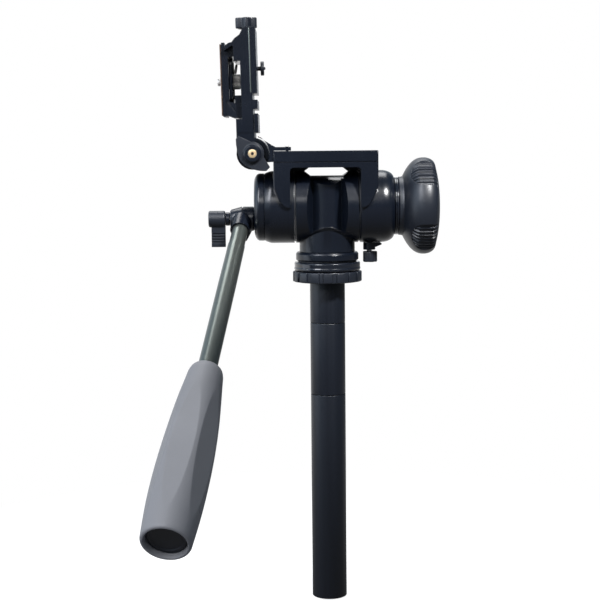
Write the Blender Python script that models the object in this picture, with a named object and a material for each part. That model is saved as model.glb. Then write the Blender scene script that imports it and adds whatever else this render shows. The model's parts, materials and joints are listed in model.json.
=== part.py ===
"""Pan and tilt head with a folding quick-release platform, on a short column.

Metres, +Z up. X runs along the tilt axle towards the drag dial, the operator
stands on the -Y side, and the origin is the centre of the column's lower end.
"""
import math

import bmesh
import bpy
from mathutils import Matrix, Vector

# General clearances and mesh fineness
gap = 0.0003
overrun = 0.002
merge_distance = 1e-6
weld_distance = 1e-5
turning_steps = 36
small_turning_steps = 20
tube_steps = 30
screw_steps = 10

# Column tube, in three lengths joined by plugs
tube_radius = 0.0140
tube_wall = 0.0015
lower_tube_length = 0.1672
middle_tube_length = 0.0577
upper_tube_length = 0.0327
joint_plug_half_length = 0.0140
joint_plug_bore = 0.0042
top_plug_length = 0.0160
top_stud_radius = 0.0046
top_stud_length = 0.0050

# Base stack under the pan joint
hub_radius = 0.0195
hub_height = 0.0088
lock_ring_radius = 0.0276
lock_ring_height = 0.0084
lock_ring_teeth = 16
lock_ring_tooth_steps = 4
lock_ring_notch_depth = 0.0012
lock_ring_notch_angle = math.radians(7.5)
lock_ring_turn = math.radians(11.25)
collar_lower_radius = 0.0265
collar_upper_radius = 0.0258
collar_height = 0.0068
collar_edge = 0.0008
pan_washer_radius = 0.0236
pan_washer_thickness = 0.0006
flange_radius = 0.0250
flange_height = 0.0066
flange_edge = 0.0006

# Pan spindle and the nut that holds the head down on it
spindle_radius = 0.0075
spindle_head_radius = 0.0120
spindle_head_height = 0.0026
spindle_chamfer = 0.0008
spindle_thread_over_nut = 0.0020
spring_washer_radius = 0.0118
spring_washer_thickness = 0.0008
nut_radius = 0.0118
nut_height = 0.0060

# Pan housing: a vertical stem that carries the horizontal tilt barrel
stem_radius = 0.0221
stem_height = 0.0357
barrel_radius = 0.0287
barrel_half_length = 0.0249
nut_cavity_radius = 0.0130
nut_cavity_height = 0.0125
waist_radius = 0.0175
waist_relief = 0.0039
waist_barrel_radius = barrel_radius - waist_relief
pocket_floor_half_width = 0.0114
pocket_mouth_half_width = 0.0162
pocket_depth = 0.0154
pocket_floor_depth = barrel_radius - pocket_depth
pocket_arch_radius = 0.0194
pocket_arch_height = 0.0155
pocket_reach = 0.0200
saddle_floor_half_width = 0.0130
saddle_mouth_half_width = 0.0182
saddle_drop = 0.0023
saddle_height = waist_barrel_radius - saddle_drop
barrel_edge = 0.0005

# Tilt axle and what runs on it
axle_radius = 0.0075
axle_left_inset = 0.0013
axle_chamfer = 0.0008
bush_radius = 0.0117
bush_length = 0.0118
axle_tunnel_radius = 0.0090
friction_disc_inset = 0.0012
friction_disc_radius = barrel_radius - friction_disc_inset
friction_disc_thickness = 0.0005

# Drums at both ends of the barrel, as thick as it is
drum_radius = barrel_radius
left_drum_length = 0.0233
left_drum_taper = 0.0018
left_drum_taper_length = 0.0046
left_cap_step = 0.0001
left_cap_radius = drum_radius - left_drum_taper - left_cap_step
left_cap_length = 0.0081
left_cap_round = 0.0046
left_cap_crown = 0.0068
left_cap_points = 6
right_drum_length = 0.0272
right_drum_straight = 0.0170
right_drum_end_radius = 0.0226
drag_washer_radius = 0.0229
drag_washer_thickness = 0.0028
drag_washer_edge = 0.0005

# Drag dial: a bell-shaped hand wheel with four ribbed grip patches
dial_neck_radius = 0.0232
dial_neck_length = 0.0034
dial_length = 0.0322
dial_radius = 0.0384
dial_crest_share = 0.66
dial_rise_power_share = 2.4
dial_ring_shares = (0.0, 0.12, 0.26, 0.44, 0.66, 0.86, 0.97, 1.0)
dial_face_radius = 0.0325
dial_face_crown = 0.0030
dial_patches = 4
dial_ribs_per_patch = 8
dial_rib_angle = math.radians(5.2)
dial_patch_turn = math.radians(-3.0)
dial_rib_depth = 0.0009
dial_plain_steps = 5
dial_patch_start_share = 0.22
dial_bore_depth = 0.0140
dial_recess_radius = 0.0110
dial_recess_depth = 0.0016
dial_cap_radius = 0.0104
dial_cap_height = 0.0018
dial_cap_round = 0.0006

# Tilt lock under the right drum
lock_inset = 0.0077
lock_boss_radius = 0.0049
lock_boss_proud = 0.0060
lock_boss_drop = drum_radius + lock_boss_proud
lock_tab_length = 0.0098
lock_tab_height = 0.0038
lock_tab_half_depth = 0.0036
lock_screw_radius = 0.0020
lock_screw_hole_depth = 0.0060
lock_knob_radius = 0.0060
lock_knob_height = 0.0086
lock_knob_gap = 0.0012
lock_knob_lobes = 5
lock_knob_lobe_depth = 0.0009
lock_knob_edge = 0.0008

# Yoke: the U bracket that carries the platform and rides on the drums
yoke_left = 0.0419
yoke_right = 0.0396
yoke_half_depth = 0.0310
yoke_top = 0.0444
yoke_plate_underside = 0.0314
yoke_arch_left = 0.0291
yoke_arch_right = 0.0261
yoke_arch_round = 0.0030
yoke_back_wall = 0.0035
yoke_back_wall_foot = 0.0165
yoke_leg_shoulder = 0.0170
yoke_leg_tip_width = 0.0028
yoke_leg_power_share = 0.55
yoke_leg_points = 9
yoke_window_half_width = 0.0182
yoke_window_top_half_width = 0.0130
yoke_window_middle = 0.0274
yoke_window_half_height = 0.0040
yoke_tray_depth = 0.0091
yoke_rim = 0.0042
yoke_button_hole = 0.0076
yoke_line_height = 0.0357
yoke_line_width = 0.0006
yoke_line_depth = 0.0005
yoke_edge = 0.0006

# Flip axis of the platform, from the yoke's left face and top
flip_from_yoke_face = 0.0161
flip_below_yoke_top = 0.0018
upright_lean = math.radians(1.2)

# Hinge bracket fixed to the yoke
bracket_bore = 0.0134
bracket_tip_height = 0.0132
bracket_tip_reach = 0.0046
bracket_brow_reach = 0.0075
bracket_brow_height = 0.0110
bracket_shoulder_reach = 0.0140
bracket_shoulder_height = 0.0068
bracket_foot_reach = 0.0298
bracket_foot_height = 0.0049
bracket_drop = 0.0066
bracket_bore_points = 9
lug_inner = 0.0132
lug_thickness = 0.0056
lug_radius = 0.0078
lug_points = 14
foot_screw_radius = 0.0016
foot_screw_head = 0.0007
foot_screw_shank = 0.0009
foot_screw_length = 0.0060
foot_screw_inset = 0.0030

# Hinge pin, its screw and the lock lever
pin_radius = 0.0026
pin_head_radius = 0.0044
pin_head_height = 0.0014
knuckle_radius = 0.0125
knuckle_arc_start = math.radians(167.4)
knuckle_arc_points = 20
lever_thickness = 0.0032
lever_boss_radius = 0.0092
lever_ring_radius = 0.0076
lever_ring_height = 0.0007
lever_tip_radius = 0.0172
lever_belly_radius = 0.0106
lever_upper_tip = math.radians(138)
lever_upper_inner = math.radians(128)
lever_lower_tip = math.radians(322)
lever_lower_outer = math.radians(308)
lever_belly_middle = math.radians(214)
lever_belly_points = 15
lever_boss_points = 9
lever_boss_from = math.radians(-18)
lever_boss_to = math.radians(96)
pivot_screw_radius = 0.0035
pivot_screw_height = 0.0015
pivot_slot_radius = 0.0016
pivot_slot_depth = 0.0009

# Platform casting, measured from the flip axis: u to the right, w upwards
plate_side_inset = 0.0050
plate_half_width = yoke_half_depth - plate_side_inset
knuckle_half_width = plate_half_width - gap
plate_u_front = 0.0073
plate_u_back = 0.0052
plate_bottom = 0.0162
plate_top = 0.0972
plate_shelf_u = 0.0120
plate_shelf_top = 0.0270
plate_neck_u = 0.0043
plate_shoulder_u = 0.0134
plate_shoulder_low = 0.0860
plate_shoulder_mid_u = 0.0112
plate_shoulder_mid = 0.0888
plate_shoulder_high_u = 0.0072
plate_shoulder_high = 0.0916
plate_jaw_root = 0.0715
plate_lip_high = 0.0834
plate_lip_nose_u = 0.0156
plate_lip_nose = 0.0856
plate_groove_u = 0.0003
plate_groove_width = 0.0006
block_bottom = 0.0464
block_mid_low = 0.0344
block_mid_high = 0.0415
leaf_top = 0.0309
leaf_u_inner = 0.0022
leaf_foot = 0.0012
web_u = 0.0016
jaw_slot_half_width = 0.0210
jaw_slot_floor = 0.0220
arm_inner_u = 0.0021
knuckle_gap = 0.0004
rear_post_half_depth = 0.0040
rear_post_u = 0.0083
rear_post_low = 0.0907
rear_post_high = 0.0962

# Jaws, clamp screw and knob
jaw_half_width = 0.0205
jaw_bottom = 0.0279
jaw_top = 0.0454
jaw_lip_low = 0.0302
jaw_nose_u = 0.0134
clamp_screw_radius = 0.0022
clamp_screw_u = -0.0026
clamp_nut_half_width = 0.0048
clamp_nut_wall = 0.0007
clamp_travel = 0.0040
knob_radius = 0.0088
knob_height = 0.0084
knob_gap = 0.0008
knob_lobes = 5
knob_lobe_depth = 0.0016
knob_turn = math.radians(-86)

# Quick-release plate with its pad and camera screw
quick_plate_low = 0.0291
quick_plate_high = 0.0862
quick_plate_half_width = 0.0200
quick_plate_u_back = 0.0168
quick_plate_thickness = 0.0050
quick_slab_thickness = 0.0026
quick_pad_thickness = 0.0010
quick_plate_round = 0.0022
rail_depth = 0.0042
rail_slope = 0.0008
upper_rail_neck = 0.0794
upper_rail_deep = 0.0832
upper_rail_inner = 0.0746
lower_rail_neck = 0.0422
lower_rail_deep = 0.0340
lower_rail_inner = 0.0406
camera_screw_w = 0.0566
camera_head_radius = 0.0059
camera_head_height = 0.0084
camera_thread_radius = 0.0031
camera_thread_proud = 0.0034
camera_flange_radius = 0.0044
camera_flange_height = 0.0018
ring_wire_width = 0.0022
ring_leaf_thickness = 0.0011
ring_leaf_length = 0.0078
ring_leaf_width = 0.0100
ring_lean = math.radians(-14)

# Safety button on the platform's underside
button_w = 0.0666
button_radius = 0.0056
button_thickness = 0.0027
button_stand_off = 0.0027
button_stem_radius = 0.0017
button_tip_radius = 0.0011
button_tip_height = 0.0011
button_stem_depth = 0.0034

# Handle joint on the left cap
rosette_drop = 0.0092
rosette_radius = 0.0098
rosette_length = 0.0095
rosette_edge = 0.0010
rosette_lug_drop = 0.0176
rosette_lug_root_share = 0.8
rosette_lug_half_depth = 0.0045
rosette_lug_foot = 0.0032
rosette_lug_setback = 0.0040
head_radius = 0.0098
head_taper = 0.0022
head_length = 0.0093
head_chamfer = 0.0010
bolt_radius = 0.0030
bolt_depth = 0.0150
bolt_collar_radius = 0.0054
bolt_collar_length = 0.0034

# Wing lever that clamps the handle joint
wing_hub_radius = 0.0066
wing_hub_length = 0.0134
wing_hub_edge = 0.0008
wing_tab_drop = 0.0223
wing_tab_inset = 0.0022
wing_tab_half_depth = 0.0030
wing_tab_end_half_depth = 0.0022
wing_ribs = 4
wing_rib_pitch = 0.0022
wing_rib_depth = 0.0006
wing_rib_width = 0.0009
wing_rib_from_end = 0.0034

# Handle: socket, rod and grip along one slanted line
handle_dip = math.radians(35)
handle_splay = math.radians(7.1)
handle_line_outset = 0.0006
handle_line_forward = 0.0120
handle_line_drop = 0.0060
socket_radius = 0.0080
socket_start = -0.0090
socket_end = 0.0045
rod_radius = 0.0062
rod_start = -0.0060
rod_in_grip = 0.0350
rod_edge = 0.0016
grip_start = 0.1550
grip_length = 0.1650
grip_neck_radius = 0.0104
grip_belly_radius = 0.0190
grip_end_radius = 0.0166
grip_belly_share = 0.64
grip_belly_power_share = 1.15
grip_neck_round = 0.0035
grip_end_round = 0.0030
grip_bore_depth = 0.0380
grip_dish_radius = 0.0128
grip_dish_depth = 0.0060
grip_plug_radius = 0.0120
grip_plug_thickness = 0.0020
grip_flats = 6
grip_flat_depth = 0.0012
grip_flat_turn = math.radians(0)
grip_flat_start_share = 0.17
grip_flat_end_share = 0.90
grip_flat_points = 11
grip_rings = 8
grip_steps = 30

# Heights that follow from the stack
middle_tube_bottom = lower_tube_length + gap
upper_tube_bottom = middle_tube_bottom + middle_tube_length + gap
column_top = upper_tube_bottom + upper_tube_length
hub_bottom = column_top + gap
hub_top = hub_bottom + hub_height
collar_bottom = hub_top + gap
collar_top = collar_bottom + collar_height
washer_bottom = collar_top + gap
washer_top = washer_bottom + pan_washer_thickness
flange_bottom = washer_top + gap
flange_top = flange_bottom + flange_height
stem_bottom = flange_top + gap
tilt_height = stem_bottom + stem_height
spring_washer_bottom = flange_top + gap
nut_bottom = spring_washer_bottom + spring_washer_thickness + gap
nut_top = nut_bottom + nut_height
spindle_top = nut_top + spindle_thread_over_nut

# Stations along the tilt axle
disc_start = barrel_half_length + gap
drum_start = disc_start + friction_disc_thickness + gap
left_drum_end = drum_start + left_drum_length
left_cap_start = left_drum_end + gap
left_cap_end = left_cap_start + left_cap_length
right_drum_end = drum_start + right_drum_length
drag_washer_start = right_drum_end + gap
drag_washer_end = drag_washer_start + drag_washer_thickness
dial_start = drag_washer_end + gap
dial_end = dial_start + dial_length
axle_left_end = left_drum_end - axle_left_inset
axle_right_end = dial_start + dial_bore_depth - 2 * gap
lock_offset = drum_start + lock_inset
rosette_start = left_cap_end + gap
rosette_end = rosette_start + rosette_length
head_start = rosette_end + gap
head_end = head_start + head_length
handle_line_x = -head_start - handle_line_outset
bolt_collar_start = head_end + gap
wing_start = bolt_collar_start + bolt_collar_length + gap
wing_end = wing_start + wing_hub_length
saddle_bore = drum_radius + gap
flip_x = -yoke_left - flip_from_yoke_face
flip_z = yoke_top - flip_below_yoke_top
tube_bore = tube_radius - tube_wall

handle_axis = Vector((-math.sin(handle_splay),
                      -math.cos(handle_splay) * math.cos(handle_dip),
                      -math.cos(handle_splay) * math.sin(handle_dip)))


def clear_scene():
    for old in list(bpy.data.objects):
        bpy.data.objects.remove(old, do_unlink=True)


def make_material(name, colour, roughness, metallic=0.0):
    """One Principled finish; the colour is linear RGB."""
    finish = bpy.data.materials.new(name)
    finish.use_nodes = True
    shader = finish.node_tree.nodes["Principled BSDF"]
    shader.inputs["Base Color"].default_value = (*colour, 1.0)
    shader.inputs["Roughness"].default_value = roughness
    shader.inputs["Metallic"].default_value = metallic
    finish.diffuse_color = (*colour, 1.0)
    return finish


def make_finishes():
    satin_black = (0.012, 0.014, 0.020)
    return {
        "tube": make_material("anodised_tube", (0.006, 0.007, 0.009), 0.55, 0.3),
        "body": make_material("satin_black_casting", satin_black, 0.38, 0.2),
        "gloss": make_material("glossy_black_ring", (0.008, 0.008, 0.010), 0.20, 0.3),
        "moulded": make_material("moulded_black", (0.014, 0.015, 0.018), 0.45),
        "grip": make_material("soft_grip_rubber", (0.030, 0.032, 0.038), 0.75),
        "rod": make_material("dark_anodised_rod", (0.045, 0.055, 0.060), 0.25, 0.8),
        "steel": make_material("bright_steel", (0.62, 0.60, 0.57), 0.25, 1.0),
        "brass": make_material("bearing_bronze", (0.45, 0.30, 0.12), 0.35, 1.0),
        "nylon": make_material("nylon_washer", (0.70, 0.69, 0.64), 0.5),
        "pad": make_material("brown_cork_rubber", (0.070, 0.042, 0.030), 0.85),
    }


def add_object(name, mesh_data, finish=None, parent=None, place=None):
    """Turn a bmesh into a named object; place is its matrix under its parent."""
    mesh = bpy.data.meshes.new(name)
    bmesh.ops.recalc_face_normals(mesh_data, faces=mesh_data.faces)
    mesh_data.to_mesh(mesh)
    mesh_data.free()
    mesh.shade_smooth()
    mesh.set_sharp_from_angle(angle=math.radians(35))
    if finish:
        mesh.materials.append(finish)
    made = bpy.data.objects.new(name, mesh)
    bpy.context.scene.collection.objects.link(made)
    made.parent = parent
    if place is not None:
        made.matrix_local = place
    return made


def add_axis(name, parent=None, place=None):
    axis = bpy.data.objects.new(name, None)
    bpy.context.scene.collection.objects.link(axis)
    axis.parent = parent
    if place is not None:
        axis.matrix_local = place
    return axis


def along_x(side=1):
    """Turn a piece made about Z so that its height runs along +X or -X."""
    return Matrix.Rotation(side * math.pi / 2, 4, "Y")


def at(x=0.0, y=0.0, z=0.0):
    return Matrix.Translation((x, y, z))


def turned(profile, steps=turning_steps):
    """Spin a closed outline of (radius, height) points about Z."""
    lathe = bmesh.new()
    points = [lathe.verts.new((radius, 0.0, height)) for radius, height in profile]
    edges = []
    for first, second in zip(points, points[1:] + points[:1]):
        on_axis = first.co.x == 0.0 and second.co.x == 0.0
        if not on_axis:
            edges.append(lathe.edges.new((first, second)))
    bmesh.ops.spin(lathe, geom=points + edges, cent=(0, 0, 0), axis=(0, 0, 1),
                   angle=math.tau, steps=steps, use_merge=True)
    bmesh.ops.remove_doubles(lathe, verts=lathe.verts, dist=merge_distance)
    centres = [vert for vert in lathe.verts if vert.co.xy.length < merge_distance]
    bmesh.ops.dissolve_verts(lathe, verts=centres)
    return lathe


def disc(radius, low, high, edge=0.0, steps=turning_steps):
    """A solid turned disc with both rims chamfered by edge."""
    if edge == 0.0:
        return turned([(0, low), (radius, low), (radius, high), (0, high)], steps)
    return turned([(0, low), (radius - edge, low), (radius, low + edge),
                   (radius, high - edge), (radius - edge, high), (0, high)], steps)


def ring(outer, inner, low, high, edge=0.0, steps=turning_steps):
    """A turned ring with its outer rims chamfered by edge."""
    if edge == 0.0:
        return turned([(inner, low), (outer, low), (outer, high), (inner, high)], steps)
    return turned([(inner, low), (outer - edge, low), (outer, low + edge),
                   (outer, high - edge), (outer - edge, high), (inner, high)], steps)


def extruded(outline, low, high, plane="XZ"):
    """Extrude a closed 2D outline along the axis that its plane leaves out."""
    lay = {"XZ": lambda a, b, depth: (a, depth, b),
           "XY": lambda a, b, depth: (a, b, depth),
           "YZ": lambda a, b, depth: (depth, a, b)}[plane]
    solid = bmesh.new()
    face = solid.faces.new([solid.verts.new(lay(a, b, low)) for a, b in outline])
    grown = bmesh.ops.extrude_face_region(solid, geom=[face])
    tops = [item for item in grown["geom"] if isinstance(item, bmesh.types.BMVert)]
    shift = Vector(lay(0.0, 0.0, high)) - Vector(lay(0.0, 0.0, low))
    bmesh.ops.translate(solid, verts=tops, vec=shift)
    return solid


def block(low, high):
    """A box between two corners."""
    solid = bmesh.new()
    centre = (Vector(low) + Vector(high)) / 2
    size = Vector(high) - Vector(low)
    bmesh.ops.create_cube(solid, size=1.0, matrix=at(*centre) @ Matrix.Diagonal((*size, 1.0)))
    return solid


def arc(centre, radius, start, end, count):
    """Points of an arc, both ends included, angles counter-clockwise from +a."""
    points = []
    for step in range(count):
        angle = start + (end - start) * step / (count - 1)
        points.append((centre[0] + radius * math.cos(angle),
                       centre[1] + radius * math.sin(angle)))
    return points


def mirrored(outline):
    return [(-a, b) for a, b in reversed(outline)]


def round_edges(target, width, segments=2, limit=math.radians(40)):
    """A Bevel modifier on the sharp edges of target."""
    bevel = target.modifiers.new("round_edges", "BEVEL")
    bevel.width = width
    bevel.segments = segments
    bevel.limit_method = "ANGLE"
    bevel.angle_limit = limit


def combine(target, tool, operation):
    """Boolean target with tool, which stays behind as a hidden guide."""
    step = target.modifiers.new(tool.name, "BOOLEAN")
    step.operation = operation
    step.object = tool
    tool.hide_render = True
    tool.display_type = "WIRE"
    return target


def cut(target, name, mesh_data, place=None):
    tool = add_object(name, mesh_data, parent=target.parent, place=place)
    combine(target, tool, "DIFFERENCE")
    return tool


def fuse(target, name, mesh_data, place=None):
    tool = add_object(name, mesh_data, parent=target.parent, place=place)
    combine(target, tool, "UNION")
    return tool


def weld_cuts():
    """Close the hairline edges that cuts leave behind."""
    for piece in bpy.data.objects:
        if any(step.type == "BOOLEAN" for step in piece.modifiers):
            weld = piece.modifiers.new("weld", "WELD")
            weld.merge_threshold = weld_distance


def lobed_outline(radius, lobes, depth, points_per_lobe=8, turn=0.0):
    """A wavy round outline: radius at the crests, depth less in the hollows."""
    count = lobes * points_per_lobe
    outline = []
    for step in range(count):
        angle = math.tau * step / count
        dip = depth * (1 - math.cos(lobes * angle)) / 2
        outline.append(((radius - dip) * math.cos(angle + turn),
                        (radius - dip) * math.sin(angle + turn)))
    return outline


# Column


def build_column(finishes, root):
    tubes = [("column_lower_tube", 0.0, lower_tube_length),
             ("column_middle_tube", middle_tube_bottom, middle_tube_length),
             ("column_upper_tube", upper_tube_bottom, upper_tube_length)]
    for name, bottom, length in tubes:
        tube = ring(tube_radius, tube_bore, bottom, bottom + length, steps=tube_steps)
        add_object(name, tube, finishes["tube"], root)
    plug_radius = tube_bore - gap
    seams = [("lower_joint_plug", middle_tube_bottom - gap / 2),
             ("upper_joint_plug", upper_tube_bottom - gap / 2)]
    for name, seam in seams:
        plug = ring(plug_radius, joint_plug_bore, seam - joint_plug_half_length,
                    seam + joint_plug_half_length, steps=small_turning_steps)
        add_object(name, plug, finishes["steel"], root)
    plug_bottom = column_top - top_plug_length
    stud_top = hub_bottom + top_stud_length
    top_plug = turned([(0, plug_bottom), (plug_radius, plug_bottom),
                       (plug_radius, column_top), (top_stud_radius, column_top),
                       (top_stud_radius, stud_top), (0, stud_top)], small_turning_steps)
    add_object("column_top_plug", top_plug, finishes["steel"], root)


# Base and pan joint


def lock_ring_outline():
    """Wide teeth with narrow notches round the rim of the pan lock ring."""
    pitch = math.tau / lock_ring_teeth
    half_notch = lock_ring_notch_angle / 2
    floor = lock_ring_radius - lock_ring_notch_depth
    outline = []
    for tooth in range(lock_ring_teeth):
        notch = lock_ring_turn + tooth * pitch
        outline += arc((0, 0), floor, notch - half_notch, notch + half_notch, 2)
        outline += arc((0, 0), lock_ring_radius, notch + half_notch,
                       notch + pitch - half_notch, lock_ring_tooth_steps)
    return outline


def build_base(finishes, root):
    hub = turned([(0, hub_bottom + top_stud_length + gap),
                  (top_stud_radius + gap, hub_bottom + top_stud_length + gap),
                  (top_stud_radius + gap, hub_bottom), (hub_radius, hub_bottom),
                  (hub_radius, hub_top), (0, hub_top)])
    add_object("base_hub", hub, finishes["body"], root)

    collar_bore = spindle_radius + gap
    recess = spindle_head_radius + gap
    recess_top = collar_bottom + spindle_head_height + gap
    collar = turned([(recess, collar_bottom),
                     (collar_lower_radius - collar_edge, collar_bottom),
                     (collar_lower_radius, collar_bottom + collar_edge),
                     (collar_upper_radius, collar_top - collar_edge),
                     (collar_upper_radius - collar_edge, collar_top),
                     (collar_bore, collar_top), (collar_bore, recess_top),
                     (recess, recess_top)])
    add_object("base_collar", collar, finishes["gloss"], root)

    head_top = collar_bottom + spindle_head_height
    spindle = turned([(0, collar_bottom), (spindle_head_radius, collar_bottom),
                      (spindle_head_radius, head_top), (spindle_radius, head_top),
                      (spindle_radius, spindle_top - spindle_chamfer),
                      (spindle_radius - spindle_chamfer, spindle_top), (0, spindle_top)],
                     small_turning_steps)
    add_object("pan_spindle", spindle, finishes["steel"], root)

    nut_bore = spindle_radius + gap
    nut = extruded(arc((0, 0), nut_radius, 0, math.tau * 5 / 6, 6), nut_bottom, nut_top, "XY")
    spindle_nut = add_object("spindle_nut", nut, finishes["steel"], root)
    cut(spindle_nut, "nut_bore", disc(nut_bore, nut_bottom - overrun, nut_top + overrun,
                                      steps=small_turning_steps))
    washer = ring(spring_washer_radius, nut_bore, spring_washer_bottom,
                  spring_washer_bottom + spring_washer_thickness, steps=small_turning_steps)
    add_object("spindle_spring_washer", washer, finishes["steel"], root)


def build_lock_ring(finishes, axis):
    toothed = extruded(lock_ring_outline(), 0.0, lock_ring_height, "XY")
    lock_ring = add_object("pan_lock_ring", toothed, finishes["moulded"], axis)
    cut(lock_ring, "lock_ring_bore", disc(hub_radius + gap, -overrun,
                                          lock_ring_height + overrun))


def build_pan_base(finishes, axis):
    bore = spindle_radius + gap
    washer = ring(pan_washer_radius, bore, washer_bottom - flange_bottom,
                  washer_top - flange_bottom, steps=small_turning_steps)
    add_object("pan_friction_washer", washer, finishes["nylon"], axis)
    flange = ring(flange_radius, bore, 0.0, flange_height, flange_edge)
    add_object("pan_flange", flange, finishes["body"], axis)


# Pan housing: stem, barrel and the waist cut into it


def waist_core(axis):
    """What the pockets leave: an upright waist within a thinner barrel."""
    reach = barrel_radius + pocket_reach
    core = add_object("waist_core", disc(waist_radius, -reach, reach), parent=axis,
                      place=at(z=tilt_height - flange_bottom))
    slim = add_object("waist_barrel", disc(waist_barrel_radius, -reach, reach), parent=axis,
                      place=at(z=tilt_height - flange_bottom) @ along_x())
    combine(core, slim, "INTERSECT")
    core.hide_render = True
    core.display_type = "WIRE"
    return core


def cut_pockets(housing, axis):
    """Front and back pockets with slanted sides, joined by a saddle on top."""
    core = waist_core(axis)
    centre = at(z=tilt_height - flange_bottom)
    outside = barrel_radius + overrun
    flank = ((pocket_mouth_half_width - pocket_floor_half_width)
             / (barrel_radius - pocket_floor_depth))
    outer_half = pocket_mouth_half_width + flank * overrun
    inner_half = pocket_floor_half_width - flank * pocket_floor_depth / 2
    inside = pocket_floor_depth / 2
    plan = [(-outer_half, -outside), (outer_half, -outside),
            (inner_half, -inside), (-inner_half, -inside)]
    arch = pocket_arch_height + pocket_arch_radius
    for side, turn in (("front", 0.0), ("back", math.pi)):
        pocket = add_object(side + "_pocket",
                            extruded(plan, -barrel_radius, barrel_radius + overrun, "XY"),
                            parent=axis, place=centre @ Matrix.Rotation(turn, 4, "Z"))
        floor = add_object(side + "_pocket_floor",
                           disc(pocket_arch_radius, -outside - overrun, outside + overrun),
                           parent=axis,
                           place=centre @ at(z=-arch) @ Matrix.Rotation(math.pi / 2, 4, "X"))
        combine(pocket, floor, "DIFFERENCE")
        combine(pocket, core, "DIFFERENCE")
        combine(housing, pocket, "DIFFERENCE")

    slope = ((saddle_mouth_half_width - saddle_floor_half_width)
             / (barrel_radius - waist_barrel_radius))
    top_half = saddle_mouth_half_width + slope * overrun
    front = [(-saddle_floor_half_width, saddle_height), (saddle_floor_half_width, saddle_height),
             (saddle_floor_half_width, waist_barrel_radius), (top_half, outside),
             (-top_half, outside), (-saddle_floor_half_width, waist_barrel_radius)]
    saddle = add_object("top_saddle", extruded(front, -outside, outside), parent=axis,
                        place=centre)
    combine(saddle, core, "DIFFERENCE")
    combine(housing, saddle, "DIFFERENCE")


def build_pan_housing(finishes, axis):
    base = stem_bottom - flange_bottom
    centre = tilt_height - flange_bottom
    housing = add_object("pan_housing", disc(stem_radius, base, centre), finishes["body"], axis)
    fuse(housing, "housing_barrel",
         disc(barrel_radius, -barrel_half_length, barrel_half_length, barrel_edge),
         at(z=centre) @ along_x())
    cut_pockets(housing, axis)
    half = barrel_half_length
    tunnel = bush_radius + gap
    shoulder = half - bush_length - gap
    bore = turned([(0, -half - overrun), (tunnel, -half - overrun), (tunnel, -shoulder),
                   (axle_tunnel_radius, -shoulder), (axle_tunnel_radius, shoulder),
                   (tunnel, shoulder), (tunnel, half + overrun), (0, half + overrun)],
                  small_turning_steps)
    cut(housing, "axle_tunnel", bore, at(z=centre) @ along_x())
    cut(housing, "nut_cavity", disc(nut_cavity_radius, base - overrun, base + nut_cavity_height,
                                    steps=small_turning_steps))
    bush_bore = axle_radius + gap
    for side, name in ((1, "right_axle_bush"), (-1, "left_axle_bush")):
        bush = ring(bush_radius, bush_bore, half - bush_length, half, steps=small_turning_steps)
        add_object(name, bush, finishes["brass"], axis, at(z=centre) @ along_x(side))


# Tilting parts on the axle


def build_axle_line(finishes, axis):
    bore = axle_radius + gap
    axle = turned([(0, -axle_left_end), (axle_radius - axle_chamfer, -axle_left_end),
                   (axle_radius, -axle_left_end + axle_chamfer),
                   (axle_radius, axle_right_end - axle_chamfer),
                   (axle_radius - axle_chamfer, axle_right_end), (0, axle_right_end)],
                  small_turning_steps)
    add_object("tilt_axle", axle, finishes["steel"], axis, along_x())
    for side, name in ((1, "right_friction_disc"), (-1, "left_friction_disc")):
        thin = ring(friction_disc_radius, bore, disc_start, disc_start + friction_disc_thickness,
                    steps=small_turning_steps)
        add_object(name, thin, finishes["nylon"], axis, along_x(side))

    left = turned([(bore, drum_start), (drum_radius, drum_start),
                   (drum_radius, left_drum_end - left_drum_taper_length),
                   (drum_radius - left_drum_taper, left_drum_end), (bore, left_drum_end)])
    add_object("left_drum", left, finishes["body"], axis, along_x(-1))

    rim = [(left_cap_radius + left_cap_crown * (across - 1),
            left_cap_end + left_cap_round * (along - 1))
           for across, along in arc((0, 0), 1, 0.0, math.pi / 2, left_cap_points)]
    cap = turned([(0, left_cap_start), (left_cap_radius, left_cap_start)] + rim
                 + [(0, left_cap_end)])
    left_cap = add_object("left_end_cap", cap, finishes["body"], axis, along_x(-1))
    cut(left_cap, "bolt_hole", disc(bolt_radius + gap, left_cap_end + rosette_length
                                    + head_length - bolt_depth - gap,
                                    left_cap_end + overrun, steps=screw_steps),
        at(z=-rosette_drop) @ along_x(-1))

    dome = []
    dome_start = drum_start + right_drum_straight
    for step in range(7):
        angle = math.pi / 2 * step / 6
        dome.append((right_drum_end_radius
                     + (drum_radius - right_drum_end_radius) * math.cos(angle),
                     dome_start + (right_drum_end - dome_start) * math.sin(angle)))
    right = turned([(bore, drum_start), (drum_radius, drum_start)] + dome
                   + [(bore, right_drum_end)])
    right_drum = add_object("right_drum", right, finishes["body"], axis, along_x())
    cut(right_drum, "lock_screw_hole",
        disc(lock_screw_radius + gap, -drum_radius - overrun,
             -drum_radius + lock_screw_hole_depth, steps=screw_steps),
        at(x=lock_offset))

    drag = ring(drag_washer_radius, bore, drag_washer_start, drag_washer_end, drag_washer_edge)
    add_object("drag_washer", drag, finishes["gloss"], axis, along_x())


def dial_radius_at(share):
    """The bell: rises steeply from the neck, crests, then rolls over."""
    if share <= dial_crest_share:
        rise = 1 - share / dial_crest_share
        return dial_neck_radius + (dial_radius - dial_neck_radius) * (1 - rise ** dial_rise_power_share)
    fall = (share - dial_crest_share) / (1 - dial_crest_share)
    return dial_face_radius + (dial_radius - dial_face_radius) * math.sqrt(1 - fall ** 2)


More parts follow.
